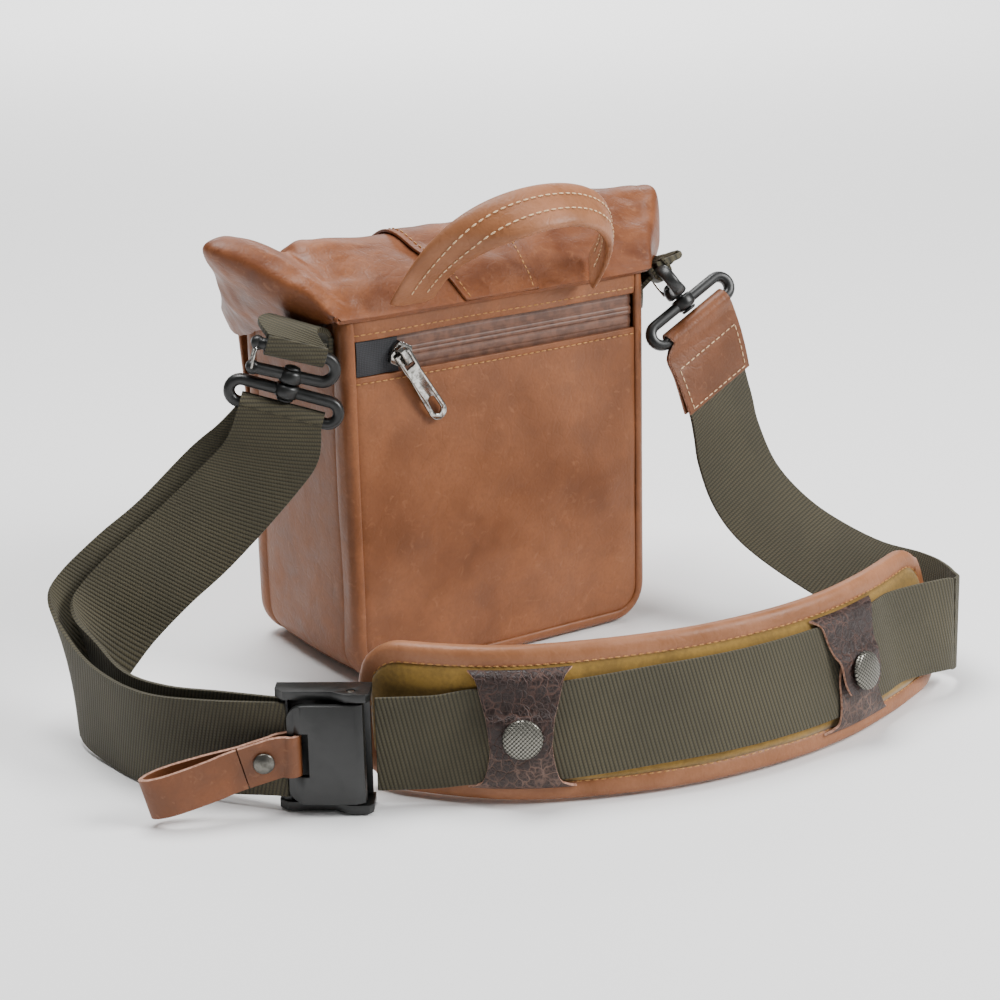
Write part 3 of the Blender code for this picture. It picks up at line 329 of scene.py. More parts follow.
def tan_leather(name, pale, deep, worn="#A06C4A"):
    """Pull-up cowhide: waxy half-gloss, cloudy where it was bent, with pores 1.3 mm apart and fine creases."""
    f = Finish(name, ior=1.5, gloss=0.36)
    patches = f.cloud(13.0, 4.0, 0.6)
    tone = f.math("ADD", f.times(f.cloud(48.0, 3.0, 0.4), 0.65), f.times(patches, 0.35))
    base = f.mix(f.spread(tone, 0.36, 0.62), deep, pale)
    base = f.mix(f.spread(f.cloud(1.9), 0.36, 0.56, 0.22, 0.0), base, deep)
    base = f.mix(f.spread(f.cloud(5.0, 3.0, 1.2), 0.60, 0.74, 0.0, 0.30), base, worn)
    f.shade(base=base, rough=f.spread(patches, 0.3, 0.7, 0.38, 0.56))
    f.bump(f.cells(1.3, f.place, "F1"), 0.10, 0.6)
    f.bump(f.spread(f.cells(7.0, f.pushed(9.0, 0.006, 2.0)), 0.0, 0.10), 0.10, 0.45)
    f.bump(patches, 0.7, 0.5)
    return f.made


def crackle_leather(name, ground, veins):
    """Distressed oil-tanned leather: plates 1.5 to 4 mm across, with pale veins worn into their edges."""
    f = Finish(name, ior=1.5, gloss=0.4)
    moved = f.pushed(3.0, 0.003)
    fine = f.spread(f.spread(f.cells(1.7, moved), 0.0, 0.16), 0.0, 1.0, 0.55, 1.0)
    plates = f.times(f.spread(f.cells(4.2, moved), 0.01, 0.10), fine)
    wear = f.spread(f.cloud(11.0), 0.40, 0.62, 0.25, 1.0)
    lines = f.times(f.math("SUBTRACT", 1.0, plates), wear)
    tone = f.mix(f.cloud(8.0), ground, "#180D0A")
    f.shade(base=f.mix(lines, tone, veins), rough=f.spread(plates, 0.0, 1.0, 0.66, 0.42))
    f.bump(plates, 0.25, 0.8)
    return f.made


def woven_webbing(name, rib, shade, pitch=1.7, cross=1.15):
    """Heavy polyester webbing: ribs across its width at a pitch in mm, and threads crossing them, with painted shade in
    the grooves between ribs and between threads.
    """
    f = Finish(name, ior=1.45, rough=0.78, sheen=0.05)
    across, along = f.split("UV")[:2]
    column = f.times(across, 1000 / cross)
    stagger = f.times(f.times(f.math("FLOOR", column), 0.5), 0.30)
    row = f.math("ADD", f.times(along, 1000 / pitch), stagger)
    # Painted shade: where the weave is low, in the grooves between ribs and between crossing threads, the colour goes
    # to the darker shade colour; the cloudy mix on the rib tops is random tone.
    threads = f.spread(f.ribs(column, math.pi), 0.0, 1.0, 0.72, 1.0)
    weave = f.times(f.ribs(row, math.pi), threads)
    light = f.mix(f.spread(f.cloud(26.0), 0.35, 0.65, 0.0, 0.35), rib, shade)
    f.shade(base=f.mix(f.spread(weave, 0.15, 0.95), shade, light))
    f.bump(weave, 0.30, 0.8)
    return f.made


def suede(name, pale, deep):
    """Split leather with its nap brushed both ways: no gloss, cloudy tone and a soft edge light."""
    f = Finish(name, rough=0.92, sheen=0.25)
    tone = f.math("ADD", f.times(f.cloud(17.0, 4.0, 0.8), 0.6), f.times(f.cloud(1.6, 2.0), 0.4))
    f.shade(base=f.mix(f.spread(tone, 0.38, 0.62), deep, pale))
    f.bump(f.cloud(0.8, 2.0), 0.12, 0.6)
    return f.made


def ribbed_cloth(name, thread, shade, pitch, roughness):
    """Plain-woven cloth with a thread spacing in mm, its threads running across and up the piece, and painted shade in
    the gaps between them.
    """
    f = Finish(name, rough=roughness)
    x, _, z = f.split("Object")
    weave = f.times(*[f.ribs(part, 1000 * math.pi / pitch) for part in (x, z)])
    tone = f.times(weave, f.spread(f.cloud(9.0), 0.3, 0.7, 0.7, 1.1))
    # Painted shade: the gaps between the threads take the darker shade colour; the cloudy factor in tone is random
    # tone.
    f.shade(base=f.mix(tone, shade, thread))
    f.bump(weave, 0.12, 0.7)
    return f.made


def moulded_nylon(name, base):
    """Glass-filled nylon: nearly black, satin, with a fine spark-eroded texture from the mould."""
    f = Finish(name, ior=1.53)
    f.shade(
        base=f.mix(f.spread(f.cloud(12.0), 0.3, 0.7), base, "#131413"),
        rough=f.spread(f.cloud(4.0), 0.3, 0.7, 0.34, 0.46),
    )
    f.bump(f.cloud(0.5, 1.0), 0.03, 0.5)
    return f.made


def plated_metal(name, base, roughness, scratch):
    """Plated zinc: polished or tumbled, with small handling marks in its gloss."""
    f = Finish(name, metal=1.0)
    marks = f.cloud(2.4, 4.0, 1.0)
    f.shade(
        base=f.mix(f.spread(marks, 0.4, 0.7), base, "#55534E"),
        rough=f.spread(marks, 0.35, 0.7, roughness, roughness + scratch),
    )
    return f.made


def knurled_pewter(name):
    """A die-struck snap cap: antique pewter with a diamond knurl 1.25 mm across and dark in its grooves."""
    f = Finish(name, metal=1.0)
    across, along = f.split("UV")[:2]
    lines = [f.ribs(f.math(slant, across, along), 1000 * math.pi / 1.75) for slant in ("ADD", "SUBTRACT")]
    raised = f.spread(f.times(*lines), 0.02, 0.45)
    f.shade(base=f.mix(raised, "#2A2926", "#7E7C74"), rough=f.spread(raised, 0.0, 1.0, 0.6, 0.36))
    f.bump(raised, 0.25, 0.9)
    return f.made


def plain_finish(name, first, second, size, roughness, depth=0.1):
    """Felt, board, thread or a cut edge: two near tones in lumps of a size in mm, with relief to match."""
    f = Finish(name, rough=roughness)
    tone = f.cloud(size, 4.0)
    f.shade(base=f.mix(f.spread(tone, 0.38, 0.62), first, second))
    f.bump(tone, depth, 0.6)
    return f.made


FINISH = {
    "cowhide": tan_leather("Pull-up cowhide", "#8A5533", "#6E4124"),
    "lid_hide": tan_leather("Pull-up cowhide, worn on the lid", "#834D2B", "#5C321C"),
    "soft_hide": tan_leather("Pull-up cowhide, rolled", "#9C6848", "#80502F"),
    "strap_hide": tan_leather("Bridle leather", "#7D4A2B", "#60381E"),
    "crackle": crackle_leather("Distressed leather", "#24130F", "#523930"),
    "crackle_grey": crackle_leather("Distressed leather, rubbed", "#35251F", "#6E564B"),
    "cut_edge": plain_finish("Raw leather edge", "#B98F7A", "#8E6450", 1.2, 0.85),
    "webbing": woven_webbing("Ribbed webbing", "#4E4834", "#2E2B1F"),
    "suede": suede("Mustard suede", "#8A6A27", "#70551C"),
    "zip_tape": plain_finish("Water-resistant zip tape", "#704C3A", "#583B2E", 3.0, 0.48),
    "patch": ribbed_cloth("Charcoal nylon", "#36373B", "#1E1F22", 0.8, 0.75),
    "nylon": moulded_nylon("Moulded nylon", "#0B0C0B"),
    "chrome": plated_metal("Bright nickel plate", "#B9B7B2", 0.12, 0.16),
    "pewter": plated_metal("Antique pewter", "#6B6963", 0.30, 0.20),
    "cap": knurled_pewter("Knurled pewter"),
    "lining": plain_finish("Grey felt lining", "#4A4A4A", "#343434", 1.4, 0.95, depth=0.25),
    "pocket": ribbed_cloth("Pocket lining", "#4A4A4C", "#2D2D30", 0.9, 0.8),
    "board": plain_finish("Grey board", "#6B6862", "#56534E", 1.8, 0.85),
    "thread": plain_finish("Waxed thread", "#C08A4C", "#9C6A36", 0.7, 0.6, depth=0.05),
    "pale_thread": plain_finish("Pale waxed thread", "#E2C39C", "#C9A478", 0.7, 0.6, depth=0.05),
    "dark_thread": plain_finish("Dark thread", "#26251C", "#1A1A14", 0.7, 0.7, depth=0.05),
}


# The material slot of each finish that isn't the tan leather or its thread.
SLOTS = {
    "crackle": "dark_leather", "crackle_grey": "dark_leather", "webbing": "olive_webbing",
    "dark_thread": "olive_webbing", "suede": "felt", "zip_tape": "zip_tape", "patch": "charcoal_patch",
    "nylon": "black_plastic", "chrome": "bright_metal", "pewter": "pewter", "cap": "pewter",
    "lining": "lining", "pocket": "lining", "board": "board",
}


# ---------------- making pieces
def add_piece(
    name, bm, finish, stands_for="", body="bag_body", slot=None, rim=None, thick=0.0, edge=0.0, round_up=0, bends=None
):
    """A finished piece: its mesh, wall, softened edges, finish, the body it moves with and what it replaces."""
    mesh = bpy.data.meshes.new(name)
    bm.to_mesh(mesh)
    bm.free()
    mesh.polygons.foreach_set("use_smooth", [True] * len(mesh.polygons))
    piece = new_object(name, mesh)
    mesh.materials.append(FINISH[finish])
    if rim:
        mesh.materials.append(FINISH[rim])
    if thick:
        wall = piece.modifiers.new("Wall", "SOLIDIFY")
        wall.thickness = mm(thick)
        wall.offset = 0.0
        wall.material_offset_rim = 1 if rim else 0
    if edge:
        soft = piece.modifiers.new("Soft edge", "BEVEL")
        soft.width = mm(edge)
        soft.segments = 2
        soft.limit_method = "ANGLE"
        soft.angle_limit = math.radians(40)
        soft.harden_normals = not round_up
    if round_up:
        rounded = piece.modifiers.new("Rounded", "SUBSURF")
        rounded.levels = round_up
        rounded.render_levels = round_up
    if bends:
        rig.blend(piece, body, *bends)
    else:
        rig.ride(piece, body)
    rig.slot(piece, slot or SLOTS.get(finish, "tan_leather"))
    if stands_for:
        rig.replaces(piece, *stands_for.split())
    return piece


def grid_sheet(columns, rows, place, size=(0.1, 0.1), wrap=False, closed=False, plug=False):
    """A grid whose points go where place(u, v) says in mm; its UV map is in metres, size across and along."""
    bm = bmesh.new()
    layer = bm.loops.layers.uv.new("UVMap")
    bmesh.ops.create_grid(bm, x_segments=columns, y_segments=rows, size=0.5)
    for face in bm.faces:
        for loop in face.loops:
            spot = loop.vert.co
            along = size[1][round((spot.y + 0.5) * rows)] if isinstance(size[1], list) else (spot.y + 0.5) * size[1]
            loop[layer].uv = ((spot.x + 0.5) * size[0], along)
    for vert in bm.verts:
        vert.co = mm(place(vert.co.x + 0.5, vert.co.y + 0.5))
    if wrap or closed:
        bmesh.ops.remove_doubles(bm, verts=bm.verts, dist=1e-6)
    if plug:
        bmesh.ops.holes_fill(bm, edges=[e for e in bm.edges if e.is_boundary])
    if wrap:
        bmesh.ops.recalc_face_normals(bm, faces=bm.faces)
    return bm


def frames_along(stations, steps, closed=False):
    """Centre, across, normal, width and running length in mm along a smooth line through the stations."""
    if closed:
        stations = stations + [stations[0]]
    path = smooth_path(stations, steps)
    last = len(path) - 1
    line = []
    run = 0.0
    for i, station in enumerate(path):
        centre = Vector(station[:3])
        ahead = Vector(path[1][:3] if closed and i == last else path[min(i + 1, last)][:3])
        behind = Vector(path[last - 1][:3] if closed and i == 0 else path[max(i - 1, 0)][:3])
        tangent = (ahead - behind).normalized()
        across = Vector(station[3:6]).normalized()
        if line:
            run += (centre - line[-1][0]).length
        line.append((centre, across, tangent.cross(across).normalized(), station[6], run))
    return line


def sweep(line, section, columns, wrap=True, closed=False, girth=0.02):
    """A section carried along a line of frames; section(u, width) gives its place across and along the normal."""
    rows = len(line) - 1

    def place(u, v):
        centre, across, normal, width, _ = line[round(v * rows)]
        a, b = section(u, width)
        return centre + across * a + normal * b

    size = (girth, [mm(spot[4]) for spot in line])
    return grid_sheet(columns, rows, place, size, wrap, closed, plug=wrap and not closed)


def ribbon(line, columns, width):
    """A flat strip along a line of frames, with the width in mm that its UV map is drawn to."""
    return sweep(line, lambda u, w: (w * (u - 0.5), 0), columns, wrap=False, girth=mm(width))


def oval(half_wide, half_thick, square=1.0):
    """A rounded section: square is 1 for an ellipse and nearer 0 for a flat bar with round edges."""
    def section(u, _):
        turn = 2 * math.pi * u
        c, s = math.cos(turn), math.sin(turn)
        return (half_wide * math.copysign(abs(c) ** square, c), half_thick * math.copysign(abs(s) ** square, s))
    return section


def strip_line(stations, width, steps):
    return frames_along([tuple(s) if len(s) == 7 else (*s, width) for s in stations], steps)


def stitch_row(name, spots, body="bag_body", finish="thread", pitch=3.3, length=2.5, girth=0.34, bends=None):
    """Saddle stitches along a line of (place, outward) in mm, each a small rounded bar half sunk in."""
    bm = bmesh.new()
    run = 0.0
    next_at = pitch / 2
    for (a, out_a), (b, _) in zip(spots, spots[1:]):
        step = (b - a).length
        while step > 1e-6 and next_at <= run + step:
            centre = a.lerp(b, (next_at - run) / step)
            turned = unit_frame(centre + out_a.normalized() * 0.12, b - a, out_a)
            shape = turned @ Matrix.Diagonal((mm(length / 2), mm(girth), mm(girth * 0.8), 1.0))
            shape = shape @ Matrix.Rotation(math.pi / 2, 4, "Y")
            bmesh.ops.create_uvsphere(bm, u_segments=6, v_segments=6, radius=1.0, matrix=shape)
            next_at += pitch
        run += step
    return add_piece(name, bm, finish, body=body, bends=bends)


def sewn(points, lift, outward):
    """Spots for stitches: points on a surface, lifted off it and facing outward."""
    return [(Vector(p) + Vector(lift), Vector(outward)) for p in points]


def turned_piece(profile, matrix, sides=40):
    """A round part spun from a profile of (radius, height) in mm; its UV map is its plan in metres."""
    bm = bmesh.new()
    layer = bm.loops.layers.uv.new("UVMap")
    verts = [bm.verts.new(mm((r, 0, z))) for r, z in profile]
    edges = [bm.edges.new(pair) for pair in zip(verts, verts[1:])]
    bmesh.ops.spin(
        bm, geom=verts + edges, cent=(0, 0, 0), axis=(0, 0, 1), angle=2 * math.pi,
        steps=sides, use_merge=True, use_duplicate=False,
    )
    bmesh.ops.remove_doubles(bm, verts=bm.verts, dist=1e-6)
    bmesh.ops.recalc_face_normals(bm, faces=bm.faces)
    for face in bm.faces:
        for loop in face.loops:
            loop[layer].uv = loop.vert.co.xy
    bm.transform(matrix)
    return bm


def merged_copy(node):
    """A CAD part's own shape with its loose triangles joined and its flat faces whole."""
    bm = bmesh.new()
    bm.from_mesh(frame["nodes"][node].data)
    bm.transform(frame["nodes"][node].matrix_world)
    bmesh.ops.remove_doubles(bm, verts=bm.verts, dist=2e-6)
    bmesh.ops.dissolve_limit(bm, angle_limit=math.radians(1.0), verts=bm.verts, edges=bm.edges)
    return bm


def join_into(bm, part):
    """Adds one shape to another."""
    mesh = bpy.data.meshes.new("joined")
    part.to_mesh(mesh)
    part.free()
    bm.from_mesh(mesh)
    bpy.data.meshes.remove(mesh)


def open_box(size, centre):
    """A box with no top, sizes in mm."""
    bm = bmesh.new()
    bmesh.ops.create_cube(bm, size=1.0)
    bmesh.ops.scale(bm, vec=mm(size), verts=bm.verts)
    bmesh.ops.translate(bm, vec=mm(centre), verts=bm.verts)
    bmesh.ops.delete(bm, geom=[f for f in bm.faces if f.normal.z > 0.9], context="FACES_ONLY")
    return bm


def trimmed(bm, tool):
    """What two solids share, as a new bmesh."""
    holders = []
    for label, shape in (("trimmed", bm), ("trimmer", tool)):
        mesh = bpy.data.meshes.new(label)
        shape.to_mesh(mesh)
        shape.free()
        holders.append(new_object(label, mesh))
    cut = holders[0].modifiers.new("Trim", "BOOLEAN")
    cut.operation = "INTERSECT"
    cut.solver = "EXACT"
    cut.object = holders[1]
    bpy.context.view_layer.update()
    result = bmesh.new()
    result.from_mesh(holders[0].evaluated_get(bpy.context.evaluated_depsgraph_get()).to_mesh())
    for holder in holders:
        bpy.data.objects.remove(holder, do_unlink=True)
    return result


def hard_part(node, finish, body="bag_body", edge=0.3):
    return add_piece(node + "_part", merged_copy(node), finish, node, body, edge=edge)


# ---------------- the bag's leather shell
HALF, DEPTH, CORNER, STRIP = 80.2, 46.0, 18.0, 4.5


def shell_line():
    """The bag's outline seen from the back, from its left top round the base to its right top."""
    low = arc((-HALF + CORNER, CORNER), CORNER, 180, 270, 8) + arc((HALF - CORNER, CORNER), CORNER, 270, 360, 8)
    left = [(-HALF, 164.0 - 12 * k) for k in range(12)]
    right = [(HALF, 164.0 - 12 * k) for k in range(11, -1, -1)]
    bottom = [(-HALF + CORNER + 15 * k, 0.0) for k in range(1, 8)]
    return left + low[:9] + bottom + low[9:] + right


def gusset_place(line):
    """Where the leather round the bag lies: (inset, y) rows from the back seam over the piping to the front."""
    corner = 4.6
    profile = [(STRIP, -DEPTH + 1.9), (STRIP - 0.5, -DEPTH + 0.7)]
    for turn in (0.05, 0.35, 0.65, 0.95, 1.25, 1.5):
        profile.append((corner - corner * math.sin(turn), -DEPTH + corner - corner * math.cos(turn)))
    profile += [(-0.4, -39.4), (-0.3, -37.2), (0.5, -35.9), (0.9, -35.3), (0.6, -34.6), (0.1, -33.0)]
    profile += [(-0.3, -28.0), (-0.6, -20.0), (-0.9, -10.0), (-1.0, 0.0)]
    profile += [(d, -y) for d, y in profile[-2::-1]]
    last = len(line) - 1

    def place(u, v):
        i = round(v * last)
        before, here, after = line[max(i - 1, 0)], line[i], line[min(i + 1, last)]
        tangent = Vector((after[0] - before[0], after[1] - before[1])).normalized()
        inward = Vector((-tangent.y, tangent.x))
        d, y = profile[round(u * (len(profile) - 1))]
        slack = ripple((here[0], y, here[1]), 30.0, 1.3) if 0 < i < last else 0.0
        slack *= held((here[1] - 6) / 30) if abs(y) < 40 else 0.15
        if here[1] < 2:
            d = max(d, 0.3)
        d += slack + 1.1
        height = here[1] + inward.y * d
        if height > 100:
            height = 100 + (height - 100) * (69.5 - 12 * ease(held((y + DEPTH) / (2 * DEPTH)))) / 64
        return (here[0] + inward.x * d, y, height)

    return place, len(profile) - 1, last


def make_gusset():
    place, columns, rows = gusset_place(shell_line())
    nodes = "side_panel_left side_panel_right base_panel piping_back piping_front"
    add_piece("gusset", grid_sheet(columns, rows, place), "cowhide", nodes, thick=2.0, round_up=1)


def panel_place(side, bottom, top, belly, outer):
    """A panel that sinks into the seam at its sides and bottom and bellies out between; side is -1 at the back."""
    def place(u, v):
        height = bottom + (top - bottom) * v
        rise = height - (STRIP + 0.2)
        half = HALF - STRIP - 0.2 - corner_inset(rise, CORNER - STRIP)
        x = half * (2 * u - 1)
        edge = min((1 - abs(2 * u - 1)) * half, max(rise, 0.0))
        sink = 1.7 * (1 - min(edge / 3.2, 1.0)) ** 2
        swell = belly * math.sin(math.pi * u) ** 0.7 * math.sin(math.pi * held(rise / 170)) ** 0.7
        wave = (ripple((x, height, 3), 34.0, 2.0) + ripple((x, height, 9), 13.0, 0.35)) * min(edge / 14, 1.0)
        wave *= min((top - height) / 12, 1.0)
        return (x, side * (outer - 1.1 + swell - sink + wave), height)
    return place


def make_panels():
    lower = panel_place(-1, STRIP + 0.2, 143.0, 1.7, DEPTH)
    add_piece("back_panel", grid_sheet(60, 60, lower), "cowhide", "back_panel_lower", thick=2.0, edge=0.7)
    upper = panel_place(-1, 159.0, 170.0, 0.5, DEPTH)
    lip = grid_sheet(60, 6, lambda u, v: Vector(upper(u, v)) + Vector((0, -0.6 * math.sin(math.pi * v), 0)))
    add_piece("back_lip", lip, "cowhide", "back_panel_upper", thick=2.0, edge=0.7)
    front = panel_place(1, STRIP + 0.2, 157.0, 0.2, DEPTH)
    add_piece("front_body", grid_sheet(48, 48, front), "cowhide", "front_panel", thick=2.0, edge=0.7)
    for name, place, share in (("stitches_below_zip", lower, 0.981), ("stitches_above_zip", upper, 0.27)):
        points = [place(0.005 + 0.99 * k / 90, share) for k in range(91)]
        stitch_row(name, sewn(points, (0, -1.35, 0), (0, -1, 0)))


def zip_profile(low, high, ridges):
    def place(u, v):
        z = low + (high - low) * v
        rise = sum(h * max(0.0, 1 - ((z - at) / wide) ** 2) ** 0.5 for at, wide, h in ridges if abs(z - at) < wide)
        return (-73 + 146 * u, -43.3 - rise, z)
    return place


def make_zip():
    for side, low, high in (("lower", 140.0, 149.4), ("upper", 152.6, 162.0)):
        middle = (low + high) / 2 + (1.6 if low < 150 else -1.6)
        bm = grid_sheet(70, 24, zip_profile(low, high, [(middle, 1.6, 0.3)]))
        add_piece("zip_side_" + side, bm, "zip_tape", "zip_tape_" + side, thick=0.7)
    bm = grid_sheet(90, 30, zip_profile(149.0, 153.0, [(150.0, 0.98, 0.7), (152.0, 0.98, 0.7)]))
    add_piece("zip_chain", bm, "zip_tape", "zip_coil", thick=0.6)

    def garage(u, v):
        return (-73.4 + 21.0 * u, -44.9 - 0.5 * math.sin(math.pi * v) + 0.25 * math.cos(9 * u + 4 * v), 143.2 + 15.6 * v)

    add_piece("zip_garage_patch", grid_sheet(14, 12, garage), "patch", "zip_garage", thick=0.9, edge=0.25)
    hard_part("zip_slider", "chrome", "zip", 0.5)
    hard_part("zip_puller", "chrome", "puller")


# ---------------- inside the bag
def make_inside():
    pouch = open_box((139.4, 5.8, 98), (0, -39.2, 101))
    bmesh.ops.subdivide_edges(pouch, edges=pouch.edges, cuts=7, use_grid_fill=True)
    add_piece("zip_pocket", pouch, "pocket", "pocket_bag", thick=0.6, edge=0.2)

    liner = open_box((146.0, 72.0, 150.8), (0, 2.9, 82.2))
    upright = [e for e in liner.edges if abs(e.verts[0].co.z - e.verts[1].co.z) > 0.1]
    base = [e for e in liner.edges if max(e.verts[0].co.z, e.verts[1].co.z) < 0.05]
    bmesh.ops.bevel(liner, geom=upright + base, offset=mm(9), segments=4, profile=0.5, affect="EDGES", material=-1)
    long_edges = [e for e in liner.edges if e.calc_length() > 0.05]
    bmesh.ops.subdivide_edges(liner, edges=long_edges, cuts=6, use_grid_fill=True)
    padding = add_piece("padded_liner_felt", liner, "lining", "padded_liner", thick=4.4, edge=1.8)
    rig.padded(padding, fill=0.8)
    for side, x in (("left", -24.0), ("right", 24.0)):
        def place(u, v, x=x):
            y = -30.0 + 65.8 * u
            z = 10.2 + 107.4 * v
            return (x + ripple((x, y, z), 26.0, 0.8) * min(u, 1 - u, v) * 4, y, z)
        pad = grid_sheet(20, 26, place)
        wall = add_piece("divider_pad_" + side, pad, "lining", "divider_" + side, thick=4.6, edge=1.8)
        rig.padded(wall, fill=0.8)
    hard_part("base_board", "board")


# ---------------- the lid
# Rows run from the back seam over the crest to the front hem; columns from the left hem to the right hem.
LID_COLUMNS = [
    [(-82, -44, 169.5), (-84, -33, 168), (-86, -20, 165.5), (-87.5, 0, 161),
     (-86.5, 20, 156), (-84.5, 38, 151), (-83.5, 50, 148)],
    [(-82, -46, 171), (-88, -33, 174), (-95, -20, 176.5), (-103, 0, 180),
     (-99, 20, 172), (-91, 38, 162), (-85.5, 51.5, 154)],
    [(-81.5, -47.2, 169.4), (-88, -35, 180), (-101, -19, 190.5), (-119, 0, 200.5),
     (-105, 20, 185), (-94, 37, 171), (-86.5, 52, 158.5)],
    [(-78, -47.6, 169.2), (-83, -35, 181.5), (-92, -18, 193), (-107, 1, 204),
     (-100, 19, 190), (-90, 37, 172.5), (-83, 52.5, 159.5)],
    [(-72, -47.8, 169.0), (-76, -34, 180), (-80, -17, 188.5), (-84, 2, 193),
     (-84, 20, 181.5), (-83, 37, 169), (-80, 52.5, 160)],
    [(-60, -48.0, 168.8), (-64, -34, 181), (-68, -17, 190), (-72, 0, 196.5),
     (-70, 20, 185), (-69, 37, 172), (-67, 52.5, 160.5)],
    [(-29, -48.0, 168.6), (-29, -33, 180.5), (-29, -17, 188), (-29, 0, 193),
     (-29, 20, 183.5), (-29, 37, 172.5), (-29, 52.5, 161)],
    [(2, -48.0, 168.6), (2, -33, 180.5), (2, -17, 188), (2, 0, 193),
     (2, 20, 184), (2, 37, 172.5), (2, 52.5, 161)],
    [(31, -48.0, 168.6), (31, -33, 182), (31, -17, 190.5), (31, 0, 196),
     (31, 20, 186.5), (31, 37, 174), (31, 52.5, 161)],
    [(64, -48.0, 168.8), (66, -34, 183), (70, -18, 193), (73.5, 0, 200.5),
     (72, 20, 188), (70, 37, 174.5), (68, 52.5, 160.5)],
    [(74, -47.8, 169.0), (79, -34, 182.5), (87, -18, 192.5), (96, 0, 199.8),
     (93, 20, 187), (86, 37, 174), (80, 52.5, 160)],
    [(78, -47.6, 169.2), (86, -34.5, 183), (96, -18.5, 192), (109, 0, 199.5),
     (101, 20, 186.5), (92, 37, 173.5), (86, 52.5, 160)],
    [(81.5, -47.2, 169.4), (90, -35, 182), (103.5, -19, 191), (117, 0, 197.5),
     (105, 20, 184), (97, 37, 171.5), (90, 52, 159)],
    [(83, -45.5, 170.6), (92.5, -33, 174), (106, -20, 177), (116, 0, 181),
     (103, 20, 170), (97, 38, 162), (90, 51.5, 154)],
    [(83, -44, 169.5), (90, -33, 167.5), (99, -20, 165.5), (107, 0, 162),
     (102, 20, 157.5), (96, 38, 152), (90, 50, 148)],
]
LID_STEPS = 7


def lid_table():
    lengthways = [smooth_path(column, LID_STEPS) for column in LID_COLUMNS]
    return [smooth_path(row, LID_STEPS) for row in zip(*lengthways)]


LID = lid_table()


def lid_place(u, v):
    row = LID[round(v * (len(LID) - 1))]
    point = Vector(row[round(u * (len(row) - 1))])
    calm = min(v * 8, (1 - v) * 8, 1.0)
    sag = ripple(point, 27.0, 2.2) + ripple(point + Vector((40, 0, 0)), 10.0, 0.8) - 1.4
    folds = abs(ripple((point.x, point.y * 2.2, point.z), 15.0, 2.0)) * min(abs(point.x) / 60, 1.0)
    return point + Vector((0, 0.2, 1.0)) * (sag - folds) * calm


def on_lid(x, v, lift):
    """A point over the lid's middle at a distance across and a share of the way to the front."""
    index = v * (len(LID) - 1)
    low = min(int(index), len(LID) - 2)
    found = []
    for row in (LID[low], LID[low + 1]):
        k = max(i for i in range(len(row) - 1) if row[i][0] <= x)
        found.append(Vector(row[k]).lerp(Vector(row[k + 1]), (x - row[k][0]) / (row[k + 1][0] - row[k][0])))
    point = found[0].lerp(found[1], index - low)
    normal = Vector((0, -(found[1] - found[0]).z, (found[1] - found[0]).y)).normalized()
    return point + normal * lift, normal


def band_half(v):
    return 19 + 10 * min(v / 0.5, 1.0)


SEAM = ("lid", Vector((0, -0.0475, 0.1690)), Vector((0, -0.037, 0.1785)))


def make_lid():
    bm = grid_sheet(len(LID[0]) - 1, len(LID) - 1, lid_place)
    add_piece("lid_leather", bm, "lid_hide", "lid_cover", thick=2.2, edge=0.8, round_up=1, bends=SEAM)

    def band_place(u, v):
        half = band_half(v)
        point, normal = on_lid(half * (2 * u - 1), v * 0.985, 1.7)
        calm = min(v * 8, (1 - v) * 8, 1.0)
        sag = (ripple(point, 27.0, 2.2) - 1.0) * calm
        curl = 0.5 * abs(2 * u - 1) ** 3 + ripple(point, 9.0, 0.5) * calm
        return point + Vector((0, 0.2, 1.0)) * sag + normal * curl

    band = grid_sheet(24, 44, band_place)
    add_piece("lid_band_leather", band, "lid_hide", "lid_band", thick=1.5, edge=0.5, bends=SEAM)
    for name, share in (("band_stitches_left", 0.07), ("band_stitches_right", 0.93)):
        points = [band_place(share, k / 60) for k in range(61)]
        stitch_row(name, sewn(points, (0, 0, 0.9), (0, -0.3, 1)), bends=SEAM)


FOLD = ("flap", Vector((0, 0.0525, 0.1615)), Vector((0, 0.0545, 0.1540)))


def make_flap():
    def place(u, v):
        z = 161.4 - 89.4 * v
        half = 80.0 - 6.0 * v - corner_inset(z - 72, 14)
        x = half * (2 * u - 1)
        y = 54.0 - 1.5 * max(0.0, (z - 157) / 4.4) - 2.0 * abs(2 * u - 1) ** 4 * v
        y -= 1.6 * max(0.0, (v - 0.92) / 0.08) ** 2
        return (x, y + 0.6 * math.sin(math.pi * u) * v + ripple((x, 0, z), 30.0, 0.7) * v, z)

    sheet = grid_sheet(48, 44, place)
    add_piece("flap_leather", sheet, "cowhide", "front_flap", "lid", thick=2.2, edge=0.7, bends=FOLD)

    def band(u, v):
        z = 162.6 - 87.1 * v
        half = 29.0 - 7.0 * max(0.0, (v - 0.94) / 0.06)
        x = half * (2 * u - 1)
        return (x, 56.5 - 2.0 * max(0.0, (z - 157) / 5.6) + 0.6 * math.sin(math.pi * (x / 160 + 0.5)) * v, z)

    sheet = grid_sheet(20, 40, band)
    add_piece("flap_band_leather", sheet, "cowhide", "flap_band", "lid", thick=1.4, edge=0.5, bends=FOLD)
    outline = [place(0.04 + 0.92 * k / 50, 0.97) for k in range(51)]
    stitch_row("flap_stitches_hem", sewn(outline, (0, 1.3, 0), (0, 1, 0)), "flap")
    for name, share in (("flap_stitches_left", 0.07), ("flap_stitches_right", 0.93)):
        points = [band(share, k / 50) for k in range(51)]
        stitch_row(name, sewn(points, (0, 0.8, 0), (0, 1, 0)), "lid", bends=FOLD)
    for node, body in (("clasp_socket", "bag_body"), ("clasp_magnet", "flap")):
        hard_part(node, "chrome", body)


